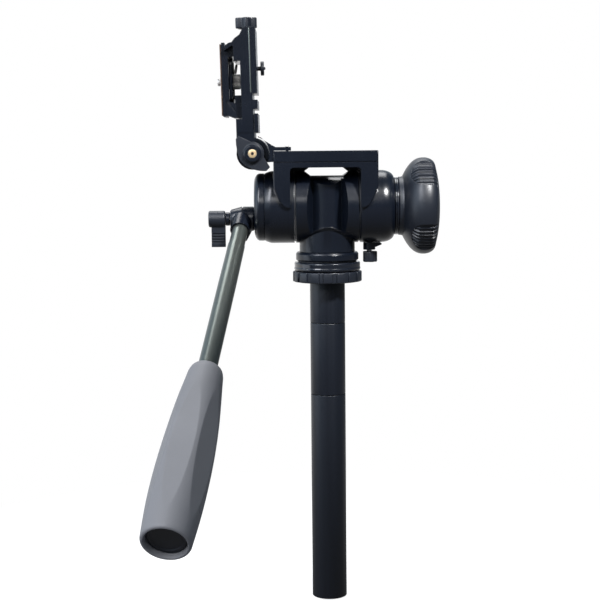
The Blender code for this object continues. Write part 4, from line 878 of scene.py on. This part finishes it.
class HEAD_OT_drums(HeadOperator, bpy.types.Operator):
    """The two drums at the ends of the barrel, with their caps and washer"""
    bl_idname = "head.drums"
    bl_label = "Tilt drums"
    # Share of the right drum's length that its domed end takes
    dome_share = 0.375

    def make(self, shapes, scene):
        bore = half("tilt_axle", 1) + AXLE_PLAY
        rim, taper_run = shapes.rim_round, shapes.drum_taper_run

        near, far, outer = along_axle("left_drum", -1)
        chain = rounded([(bore, near), (outer, near), (outer, far - taper_run),
                         (outer - shapes.drum_taper, far), (bore, far), (bore, near)],
                        [0, rim * 0.6, taper_run * 2, rim * 0.6, 0], 8)
        turned_node("left_drum", chain, on_axle(-1))

        near, far, outer = along_axle("left_end_cap", -1)
        chain = [(0, near), (outer - rim / 2, near), (outer, near + rim / 2),
                 *dome(outer, far, shapes.cap_crown, shapes.cap_round), (0, far)]
        turned_node("left_end_cap", chain, on_axle(-1))

        near, far, outer = along_axle("right_drum")
        neck = half("drag_washer", 1) - NECK_STEP
        chain = [(bore, near), (outer - rim, near), (outer, near + rim),
                 *dome(outer, far, outer - neck, (far - near) * self.dome_share),
                 (bore, far), (bore, near)]
        turned_node("right_drum", chain, on_axle())

        turned_node("drag_washer", ring_chain(
            along_axle("drag_washer"), bore,
            [(0, 0), (0, 0.42), (rim * 1.5, 0.5), (0, 0.58), (0, 1)],
            [rim, rim / 2, rim / 2, rim / 2, rim]), on_axle())


class HEAD_OT_discs(HeadOperator, bpy.types.Operator):
    """Friction discs that fill the gaps between the barrel and its drums"""
    bl_idname = "head.discs"
    bl_label = "Friction discs"
    # What a disc leaves free on either side
    skin = 0.00005

    def make(self, shapes, scene):
        bore = half("tilt_axle", 1) + AXLE_PLAY
        near = span("right_axle_bush", 0)[1] + self.skin
        for side, node, drum in ((1, "right_friction_disc", "right_drum"),
                                 (-1, "left_friction_disc", "left_drum")):
            outer = half(node, 1)
            far = along_axle(drum, side)[0] - self.skin
            chain = [(bore, near), (outer, near), (outer, far), (bore, far), (bore, near)]
            turned_node(node, chain, on_axle(side))


class HEAD_OT_dial(HeadOperator, bpy.types.Operator):
    """Bell-shaped drag dial with ribbed, leaf-shaped grip patches"""
    bl_idname = "head.dial"
    bl_label = "Drag dial"

    # Shares of the dial's length, and where along its bell the crest lies
    shoulder_share, crown_share, crest_share = 0.1056, 0.0932, 0.66
    # Shares of its crest's radius
    face_share, patch_share = 0.846, 0.972
    # Where the patches start, are full and end, along the bell
    patch_tip, patch_full, patch_end = 0.22, 0.56, 0.985
    swell = 2.4
    bore, neck_edge, neck_sink = 0.008, 0.0006, 0.0012
    recess_gap, recess_edge, recess_drop, recess_depth = 0.0006, 0.0014, 0.0004, 0.0016
    # The cap's lip and dish, as shares of its radius, and the dish's depth
    cap_lip, cap_dish, cap_depth = 0.62, 0.52, 0.0005

    def bell_radius(self, part, neck, crest, face):
        """Radius of the bell at that part of its run."""
        if part <= self.crest_share:
            climb = 1 - (1 - part / self.crest_share) ** self.swell
            return neck + (crest - neck) * climb
        fall = (part - self.crest_share) / (1 - self.crest_share)
        return face + (crest - face) * math.sqrt(1 - fall ** 2)

    def make(self, shapes, scene):
        near, far, crest = along_axle("drag_dial")
        neck = half("drag_washer", 1) + NECK_STEP
        face = crest * self.face_share
        shoulder = near + (far - near) * self.shoulder_share
        crown = (far - near) * self.crown_share
        run = far - shoulder - crown
        recess = half("dial_cap", 1) + self.recess_gap
        chain = [(self.bore, near), (neck - self.neck_edge, near),
                 (neck, near + self.neck_edge), (neck, shoulder - self.neck_sink)]
        chain += [(self.bell_radius(part, neck, crest, face), shoulder + run * part)
                  for part in shares(96)]
        chain += [(face + (recess + self.recess_edge - face) * part,
                   far - crown * (1 - part) ** 2) for part in shares(10)]
        floor = far - self.recess_depth
        chain += [(recess, far - self.recess_drop), (recess, floor), (0.0, floor)]
        turned_node("drag_dial", chain, on_axle(), 576, math.radians(40),
                    Patches=shapes.dial_patches, Patch_Turn=shapes.dial_patch_turn,
                    Grooves=shapes.dial_grooves, Groove_Angle=shapes.dial_groove_angle,
                    Groove_Depth=shapes.dial_rib_depth,
                    Patch_Radius=crest * self.patch_share,
                    Patch_Tip=shoulder + run * self.patch_tip,
                    Patch_Full=shoulder + run * self.patch_full,
                    Patch_End=shoulder + run * self.patch_end)
        near, far, outer = along_axle("dial_cap")
        cap = dished_disc(near, far, outer, outer * self.cap_lip,
                          outer * self.cap_dish, self.cap_depth)
        turned_node("dial_cap", cap, on_axle(), SMALL_STEPS)


class HEAD_OT_castings(HeadOperator, bpy.types.Operator):
    """Castings and mouldings that keep the model's shape, with fine edges"""
    bl_idname = "head.castings"
    bl_label = "Castings"

    def make(self, shapes, scene):
        for node in ("pan_housing", "yoke", "hinge_bracket", "flip_platform",
                     "movable_jaw", "quick_release_plate", "lock_boss", "rosette_hub",
                     "handle_head", "flip_lever", "wing_lever", "safety_button"):
            casting_copy(node, shapes.edge_round)


class HEAD_OT_lock_ring(HeadOperator, bpy.types.Operator):
    """Pan lock ring: a turned core with wide teeth set round it"""
    bl_idname = "head.lock_ring"
    bl_label = "Pan lock ring"
    first_tooth = math.radians(11.25)
    hub_play = 0.0003

    def tooth(self, inner, outer, low, high, wide, edge):
        """One tooth about +X, its outer edges rounded."""
        turns = [wide * (step / 12 - 0.5) for step in range(13)]
        outline = [(outer * math.cos(turn), outer * math.sin(turn)) for turn in turns]
        outline = [(inner * math.cos(wide / 2), -inner * math.sin(wide / 2)), *outline,
                   (inner * math.cos(wide / 2), inner * math.sin(wide / 2))]
        solid = bmesh.new()
        face = solid.faces.new([solid.verts.new((x, y, low)) for x, y in outline])
        grown = bmesh.ops.extrude_face_region(solid, geom=[face])
        tops = [item for item in grown["geom"] if isinstance(item, bmesh.types.BMVert)]
        bmesh.ops.translate(solid, verts=tops, vec=(0, 0, high - low))
        bmesh.ops.recalc_face_normals(solid, faces=solid.faces)
        return break_edges(object_from("ring_tooth", solid), edge, 3, math.radians(40))

    def make(self, shapes, scene):
        node = "pan_lock_ring"
        low, high, outer = up_column(node)
        floor = outer - shapes.ring_notch_depth
        bore = half("base_hub", 0) + self.hub_play
        rim = shapes.rim_round
        chain = rounded([(bore, low + rim), (bore, low), (floor, low), (floor, high),
                         (bore, high), (bore, low + rim)],
                        [0, 0, rim, rim, 0])
        core = turned(node + "_core", chain, slot_of[node], at())
        pitch = math.tau / shapes.ring_teeth
        tooth = self.tooth(floor - rim, outer, low + rim / 3, high - rim / 3,
                           pitch - shapes.ring_notch, rim)
        ring = grow(tooth, forms["ring"], Count=shapes.ring_teeth,
                    Material=finishes[slot_of[node]], Turn=self.first_tooth + pitch / 2)
        ring.name = node + "_teeth"
        dress(core, node)
        trim(smooth(ring), slot_of[node], body_of[node])


class HEAD_OT_knobs(HeadOperator, bpy.types.Operator):
    """Lobed knobs of the tilt lock and the platform clamp"""
    bl_idname = "head.knobs"
    bl_label = "Lobed knobs"
    edge = 0.0009
    # The hollow in a knob's crown, as shares of its crest's radius
    crown_lip, crown_dish = 0.45, 0.40

    def knob(self, node, place, tall, crest, bore, lobes, hollow, turn=0.0):
        edge, floor = self.edge, tall - self.edge / 2
        chain = rounded([(0, tall / 2), (bore, tall / 2), (bore, 0), (crest, 0),
                         (crest, tall), (crest * self.crown_lip, tall),
                         (crest * self.crown_dish, floor), (0, floor)],
                        [0, 0, 0, edge, edge, edge / 4, edge / 4])
        turned_node(node, chain, place, 160, Lobes=lobes, Lobe_Turn=turn, Lobe_Depth=hollow)

    def make(self, shapes, scene):
        low, high = span("lock_knob", 2)
        middle = centre("lock_knob")
        self.knob("lock_knob", at(middle.x, middle.y, high)
                  @ Matrix.Rotation(math.pi, 4, "X"), high - low,
                  crest=0.0060, bore=0.0023, lobes=shapes.knob_lobes, hollow=0.0009)
        tall = 0.0084
        self.knob("clamp_knob", at(*centre("clamp_knob")) @ LEAN @ at(z=-tall / 2),
                  tall, crest=0.0088, bore=0.0025, lobes=shapes.knob_lobes,
                  hollow=0.0027, turn=math.radians(-84))


class HEAD_OT_fasteners(HeadOperator, bpy.types.Operator):
    """Screws, pin, bolt collar and the folding ring of the camera screw"""
    bl_idname = "head.fasteners"
    bl_label = "Fasteners"

    def camera_screw(self, shapes):
        """Threaded stud through the plate, with a knurled head."""
        node = "camera_screw"
        place = at(*centre(node)) @ LEAN @ along_x()
        outer, flange, stud, dish = half(node, 1), 0.0044, 0.0031, 0.0026
        head_long, flange_thick, dish_depth = 0.0066, 0.0015, 0.0010
        edge, fine = 0.0006, 0.0002
        end = half(node, 0) - fine / 2
        head_start, floor = end - head_long, end - dish_depth
        shoulder = head_start - flange_thick
        chain = rounded([(0, shoulder), (flange, shoulder), (flange, head_start),
                         (outer, head_start), (outer, end), (dish, end),
                         (dish * 0.8, floor), (0, floor)],
                        [0, fine, fine / 2, edge, edge, fine, fine])
        knurls, knurl_depth = 30, 0.0004
        turned_node(node, chain, place, 240, Lobes=knurls, Lobe_Depth=knurl_depth)
        lead_in, thread, thread_depth = 0.0004, 0.0045, 0.0006
        rows = round(thread / shapes.thread_pitch * 8)
        chain = [(0, -end), (stud * 0.8, -end)]
        chain += [(stud, lead_in - end + (thread - lead_in) * row / rows)
                  for row in range(rows + 1)]
        chain += [(stud, shoulder), (0, shoulder)]
        turned_trim("camera_screw_stud", chain, slot_of[node], body_of[node], place,
                    SMALL_STEPS, Thread_Pitch=shapes.thread_pitch,
                    Thread_Depth=thread_depth, Thread_Start=lead_in / 2 - end,
                    Thread_End=thread - end)

    def wire_ring(self, wire):
        """Round-wire D ring that folds over the camera screw's head."""
        node = "folding_ring"
        low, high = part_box(node)
        foot = Vector((low.x + wire, 0.0, low.z + wire))
        crest = Vector((high.x - wire, 0.0, high.z - wire))
        wide = Vector((0.0, half(node, 1) - wire, 0.0))
        up = (crest - foot).normalized() * wide.y
        turns = [math.pi * step / 20 for step in range(21)]
        points = [crest - up + wide * math.cos(turn) + up * math.sin(turn) for turn in turns]
        points += [foot - wide, foot + wide]
        curve = bpy.data.curves.new(node, "CURVE")
        curve.dimensions = "3D"
        curve.bevel_depth = wire
        curve.bevel_resolution = 4
        spline = curve.splines.new("POLY")
        spline.points.add(len(points) - 1)
        for point, place in zip(spline.points, points):
            point.co = (*place, 1.0)
        spline.use_cyclic_u = True
        piece = add_object(node + "_wire", curve)
        mesh = evaluated_mesh(piece)
        bpy.data.objects.remove(piece)
        ring = add_object(node + "_finished", mesh)
        close_seams(ring)
        dress(smooth(ring), node)

    def pin_end(self, node, side):
        """Dished washer, small brass-tinted socket head, and a dark disc of painted shade in the
        socket, on a pin's end.
        """
        low, high = span(node, 1)
        middle = centre(node)
        place = (at(middle.x, high if side > 0 else low, middle.z)
                 @ Matrix.Rotation(-side * math.pi / 2, 4, "X"))
        bore, rise, radius, back, level = 0.0032, 0.0036, 0.0068, -0.0014, 0.0004
        chain = rounded([(bore, back), (radius, back), (radius, -level),
                         (radius - 0.0008, level), (rise, level), (bore, -level),
                         (bore, back)],
                        [0, 0, level, level, level / 2, 0])
        turned_trim(node + "_washer", chain, "satin_black_casting", body_of[node],
                    place, SMALL_STEPS)
        sink = 0.0002
        head = socket_head(node + "_head", radius=0.0033, tall=0.0010, socket=0.0013, depth=0.0008)
        head.data.transform(place @ at(z=-sink))
        trim(smooth(head), "bearing_bronze", body_of[node])
        # Dark six-sided disc on the socket's floor: painted shade in the recess.
        radius, below, above = 0.0012, 0.0, 0.00025
        chain = [(0, below), (radius, below), (radius, above), (0, above)]
        turned_trim(node + "_socket", chain, "moulded_black", body_of[node], place, 6)

    def make(self, shapes, scene):
        for node in ("pivot_screw", "hinge_pin", "front_bracket_screw",
                     "back_bracket_screw", "bolt_collar", "clamp_screw", "lock_screw",
                     "handle_bolt"):
            casting_copy(node)
        self.wire_ring(wire=0.0009)
        self.camera_screw(shapes)
        self.pin_end("pivot_screw", -1)
        self.pin_end("hinge_pin", 1)


class HEAD_OT_handle(HeadOperator, bpy.types.Operator):
    """Slanted rod with its soft grip, grown along one line"""
    bl_idname = "head.handle"
    bl_label = "Handle"

    # Heights run down the handle
    grip_start, grip_end = 0.1640, 0.3200
    grip_bore, bore_depth = 0.0071, 0.027
    neck, belly, last = 0.0122, 0.0192, 0.0166
    neck_round, end_round = 0.0045, 0.0018
    # Where the belly is widest, and where the flats start and end, along the grip
    belly_share, flat_start, flat_end = 0.62, 0.17, 0.90
    swell = 1.15
    dish, dish_depth = 0.0139, 0.0060
    dish_lip, lip_dip, lip_drop = 0.0006, 0.0002, 0.0010
    plug, plug_lip, plug_dish = 0.0131, 0.0112, 0.0104
    plug_tall, plug_depth, plug_play = 0.0020, 0.0008, 0.0003
    # The sleeve that thickens the rod towards the grip
    sleeve_bore, sleeve_start, sleeve_end = 0.0058, 0.024, 0.168
    sleeve_sides = [(0.0066, sleeve_start), (0.0069, 0.070), (0.0070, sleeve_end)]

    def line(self, shapes, plug_middle):
        """Matrix that lays +Z down the handle, found from the grip's end plug."""
        dip, splay = shapes.handle_dip, shapes.handle_splay
        axis = Vector((-math.sin(splay), -math.cos(splay) * math.cos(dip),
                       -math.cos(splay) * math.sin(dip)))
        turn = axis.to_track_quat("Z", "Y").to_matrix().to_4x4()
        return at(*(centre("grip_end_plug") - axis * plug_middle)) @ turn

    def grip_radius(self, part):
        """Radius of the grip at that part of its length."""
        if part < self.belly_share:
            rise = math.sin(part / self.belly_share * math.pi / 2) ** self.swell
            return self.neck + (self.belly - self.neck) * rise
        bend = (part - self.belly_share) / (1 - self.belly_share) * math.pi / 2
        return self.belly - (self.belly - self.last) * (1 - math.cos(bend))

    def grip_chain(self):
        """Round neck, swelling belly and a dished end."""
        start, end, long = self.grip_start, self.grip_end, self.grip_end - self.grip_start
        chain = [(self.grip_bore, start + self.bore_depth), (self.grip_bore, start)]
        chain += reversed(dome(self.neck, start, self.neck_round, -self.neck_round, 8))
        first, final = self.neck_round / long, 1 - self.end_round / long
        for share in shares(96):
            part = first + (final - first) * share
            chain.append((self.grip_radius(part), start + long * part))
        chain += dome(self.last, end, self.end_round, self.end_round, 8)[1:]
        floor = end - self.dish_depth
        return chain + [(self.dish + self.dish_lip, end - self.lip_dip),
                        (self.dish, end - self.lip_drop), (self.dish, floor), (0, floor)]

    def make(self, shapes, scene):
        long = self.grip_end - self.grip_start
        floor = self.grip_end - self.dish_depth + self.plug_play
        line = self.line(shapes, floor + self.plug_tall / 2)
        casting_copy("handle_rod")
        sleeve = [(self.sleeve_bore, self.sleeve_start), *self.sleeve_sides,
                  (self.sleeve_bore, self.sleeve_end)]
        turned_trim("handle_rod_sleeve", sleeve, slot_of["handle_rod"],
                    body_of["handle_rod"], line, SMALL_STEPS)
        turned_node("handle_grip", self.grip_chain(), line, 288, math.radians(38),
                    Flats=shapes.grip_flats, Flat_Turn=shapes.grip_flat_turn,
                    Flat_Depth=shapes.grip_flat_depth,
                    Flat_Start=self.grip_start + long * self.flat_start,
                    Flat_End=self.grip_start + long * self.flat_end)
        plug = dished_disc(floor, floor + self.plug_tall, self.plug, self.plug_lip,
                           self.plug_dish, self.plug_depth)
        turned_node("grip_end_plug", plug, line, SMALL_STEPS)


class HEAD_OT_pad(HeadOperator, bpy.types.Operator):
    """Pad and rim of the quick-release plate, and the lighter strip in the platform's groove that
    paints a highlight on its edge
    """
    bl_idname = "head.pad"
    bl_label = "Camera pad"

    # The rim's height, its outer sides, its wall and the round of its corners
    rim_tall, rim_across, rim_along, rim_wall, rim_corner = (
        0.0028, 0.0330, 0.0340, 0.0024, 0.0050)
    # From the camera screw's end to the rim's foot, and how far it sits higher
    rim_back, rim_lift = 0.0082, 0.0009
    # The painted highlight strip's ends above the hinge, its radius and how it sits in its groove
    strip_bottom, strip_top, strip_radius = 0.0470, 0.0966, 0.0007
    strip_proud, strip_shift, strip_edge = 0.0002, 0.0003, 0.0003

    def rim_outline(self, inset):
        """Rounded rectangle, inset from the rim's outer sides."""
        radius = self.rim_corner - inset
        across, along = self.rim_across / 2 - inset, self.rim_along / 2 - inset
        outline = []
        for quarter, (side, end) in enumerate(((1, 1), (-1, 1), (-1, -1), (1, -1))):
            for step in range(9):
                turn = math.pi / 2 * (quarter + step / 8)
                outline.append((side * (across - radius) + radius * math.cos(turn),
                                end * (along - radius) + radius * math.sin(turn)))
        return outline

    def rim(self, shapes):
        """Moulded rim round the camera screw on the back of the plate."""
        outer, inner = self.rim_outline(0.0), self.rim_outline(self.rim_wall)
        solid = bmesh.new()
        rings = [[solid.verts.new((height, y, z)) for y, z in outline]
                 for outline, height in ((outer, 0.0), (outer, self.rim_tall),
                                         (inner, self.rim_tall), (inner, 0.0))]
        bridge(solid, rings + rings[:1])
        bmesh.ops.recalc_face_normals(solid, faces=solid.faces)
        piece = break_edges(object_from("plate_rim", solid), shapes.edge_round, 2,
                            math.radians(40))
        middle = centre("camera_screw")
        foot = span("camera_screw", 0)[1] - self.rim_back
        piece.data.transform(at(foot, middle.y, middle.z + self.rim_lift) @ LEAN)
        trim(smooth(piece), slot_of["quick_release_plate"], body_of["quick_release_plate"])

    def painted_groove_highlight(self):
        """Lighter strip in the groove along the platform's side: a painted highlight where the
        black edge catches the light.
        """
        hinge = centre("hinge_pin")
        side = span("flip_platform", 1)[0] + self.strip_radius - self.strip_proud
        place = at(hinge.x, side, hinge.z) @ LEAN @ at(x=self.strip_shift, z=self.strip_bottom)
        long, radius = self.strip_top - self.strip_bottom, self.strip_radius
        chain = rounded([(0, 0), (radius, 0), (radius, long), (0, long)],
                        [0, self.strip_edge, self.strip_edge])
        # The rod's lighter metallic finish paints the highlight on the platform's edge.
        turned_trim("platform_painted_highlight", chain, slot_of["handle_rod"],
                    body_of["flip_platform"], place, 16)

    def make(self, shapes, scene):
        casting_copy("camera_pad")
        self.painted_groove_highlight()
        self.rim(shapes)


class HEAD_OT_stage(HeadOperator, bpy.types.Operator):
    """Pale floor, white room, a narrow lamp, four soft boxes and the camera"""
    bl_idname = "head.stage"
    bl_label = "Stage"
    # What the soft boxes face
    subject = (0.0, 0.0, 0.30)

    def white_room(self, scene, stage):
        """White behind and on the left, dim on the right, dark in front."""
        world = bpy.data.worlds.new("white_room")
        scene.world = world
        world.use_nodes = True
        graph = Graph(world.node_tree)
        world.node_tree.nodes.clear()
        seen, through, mirrored = graph.signals(
            "ShaderNodeLightPath",
            ("Is Camera Ray", "Is Transmission Ray", "Is Glossy Ray"))
        right, behind, above = graph.parts(graph.signal("ShaderNodeTexCoord", output="Generated"))

        def wall_glow(side, edge, slope, glow):
            """Fades in from the wall's edge, by its slope, up to its glow."""
            return graph.clamp((side - edge) * slope) * glow

        left_wall = wall_glow(right * -1, edge=0.20, slope=1.5, glow=1.1)
        right_wall = wall_glow(right, edge=0.55, slope=1.2, glow=0.12)
        back_wall = wall_glow(behind, edge=0.50, slope=2.0,
                              glow=0.05 + 0.95 * graph.clamp(1 - right * 1.8))
        walls = graph.larger(graph.larger(left_wall, right_wall), back_wall)
        wall = stage.dark_front + (1 - stage.dark_front) * walls
        direct = graph.larger(seen, through)
        shown = graph.larger(direct, mirrored * wall)
        ceiling = 0.4 + 0.6 * graph.clamp(above + 0.2)
        plain = (1 - graph.larger(direct, mirrored)) * ceiling * stage.room_light
        white = graph.larger(direct, mirrored * back_wall)
        tone = graph.blend_colours(white, (*stage.room_tone, 1.0), WHITE)
        light = graph.signal("ShaderNodeBackground", None,
                             {"Color": tone, "Strength": shown + plain})
        graph.node("ShaderNodeOutputWorld", None, {"Surface": light})

    def floor(self, stage):
        """White for the camera, with the paint and its shadow near the column."""
        solid = bmesh.new()
        bmesh.ops.create_grid(solid, x_segments=2, y_segments=2, size=12.0)
        piece = object_from("floor", solid)
        piece.data.transform(at(y=5.0, z=-0.001))
        material = bpy.data.materials.new("pale_floor")
        material.use_nodes = True
        graph = Graph(material.node_tree)
        material.node_tree.nodes.clear()
        seen, through, mirrored, thrown_back = graph.signals(
            "ShaderNodeLightPath",
            ("Is Camera Ray", "Is Transmission Ray", "Is Glossy Ray", "Is Diffuse Ray"))
        direct = graph.larger(seen, through)
        place = graph.signal("ShaderNodeTexCoord", output="Object")
        far = graph.signal("ShaderNodeVectorMath", {"operation": "LENGTH"}, {0: place}, "Value")
        paint_share = graph.clamp(1 - far / stage.shadow_reach) * stage.shadow_share
        right, behind, _ = graph.parts(place)
        behind = graph.clamp(behind * 1.5) * graph.clamp(1 - right * 1.2)
        dark = stage.dark_front * 2
        mirror_glow = dark + (1 - dark) * behind
        paint_tone, bounced_tone = (0.86, 0.86, 0.87, 1.0), (0.22, 0.23, 0.26, 1.0)
        tone = graph.blend_colours(thrown_back, paint_tone, bounced_tone)
        paint = graph.signal("ShaderNodeBsdfDiffuse", None, {"Color": tone, "Roughness": 1.0})
        strength = graph.larger(direct * (1 + paint_share), mirrored * mirror_glow)
        glow = graph.signal("ShaderNodeEmission", None, {"Color": WHITE, "Strength": strength})
        glowing = graph.larger(direct * (1 - paint_share), mirrored)
        mix = graph.signal("ShaderNodeMixShader", None, {0: glowing, 1: paint, 2: glow})
        graph.node("ShaderNodeOutputMaterial", None, {"Surface": mix})
        piece.data.materials.append(material)

    def lamp(self, name, kind, place, aim, energy, **settings):
        light = bpy.data.lights.new(name, kind)
        light.energy = energy
        for setting, value in settings.items():
            setattr(light, setting, value)
        lamp = add_object(name, light)
        lamp.location = place
        ray = Vector(aim) - Vector(place)
        lamp.rotation_euler = ray.to_track_quat("-Z", "Y").to_euler()

    def soft_box(self, name, place, size, energy, tone=(1.0, 1.0, 1.0)):
        self.lamp(name, "AREA", place, self.subject, energy, shape="RECTANGLE",
                  size=size[0], size_y=size[1], color=tone)

    def camera(self, scene, stage):
        data = bpy.data.cameras.new("camera")
        data.lens = stage.lens
        data.sensor_width = 36.0
        data.clip_start = 0.01
        camera = add_object("camera", data)
        scene.camera = camera
        camera.matrix_world = (
            at(*stage.camera_place) @ Matrix.Rotation(-stage.camera_swing, 4, "Z")
            @ Matrix.Rotation(math.pi / 2 - stage.camera_dip, 4, "X")
            @ Matrix.Rotation(-stage.camera_roll, 4, "Z"))

    def make(self, shapes, scene):
        stage = scene.head_stage
        scene.view_settings.view_transform = "Standard"
        self.white_room(scene, stage)
        self.floor(stage)
        self.lamp("key_light", "SPOT", (0.54, -0.80, 1.28), (0.03, 0.0, 0.36),
                  stage.key_power, spot_size=stage.key_cone, spot_blend=0.5,
                  shadow_soft_size=0.07)
        self.soft_box("fill_light", (-0.72, -0.92, 1.20), (0.5, 1.0),
                      stage.fill_power, (0.92, 0.94, 1.0))
        self.soft_box("side_light", (-1.30, -0.20, 0.45), (0.8, 1.0),
                      stage.side_power, (0.82, 0.89, 1.0))
        self.soft_box("front_light", (-0.22, -1.25, 0.95), (0.5, 0.3), stage.front_power)
        self.soft_box("top_light", (-0.10, 0.55, 1.25), (0.9, 0.5), stage.top_power)
        self.camera(scene, stage)


STEPS = (HEAD_OT_finishes, HEAD_OT_forms, HEAD_OT_column, HEAD_OT_base,
         HEAD_OT_lock_ring, HEAD_OT_drums, HEAD_OT_discs, HEAD_OT_dial,
         HEAD_OT_castings, HEAD_OT_knobs, HEAD_OT_fasteners, HEAD_OT_handle,
         HEAD_OT_pad, HEAD_OT_stage)


class HEAD_PT_steps(bpy.types.Panel):
    """Lists the steps of the build in the sidebar"""
    bl_label = "Pan and Tilt Head"
    bl_idname = "HEAD_PT_steps"
    bl_space_type = "VIEW_3D"
    bl_region_type = "UI"
    bl_category = "Head"

    def draw(self, context):
        layout = self.layout
        for group in GROUPS:
            settings = getattr(context.scene, group)
            for name in settings.bl_rna.properties.keys():
                if name not in ("rna_type", "name"):
                    layout.prop(settings, name)
        for step in STEPS:
            layout.operator(step.bl_idname)


GROUPS = {"head_finishes": HeadFinishes, "head_shapes": HeadShapes,
          "head_stage": HeadStage}


def register():
    for kind in (*GROUPS.values(), *STEPS, HEAD_PT_steps):
        bpy.utils.register_class(kind)
    for name, kind in GROUPS.items():
        setattr(bpy.types.Scene, name, bpy.props.PointerProperty(type=kind))


def unregister():
    for name in GROUPS:
        delattr(bpy.types.Scene, name)
    for kind in reversed((*GROUPS.values(), *STEPS, HEAD_PT_steps)):
        bpy.utils.unregister_class(kind)


def main():
    register()
    for step in STEPS:
        group, name = step.bl_idname.split(".")
        getattr(getattr(bpy.ops, group), name)()


if __name__ == "__main__":
    main()
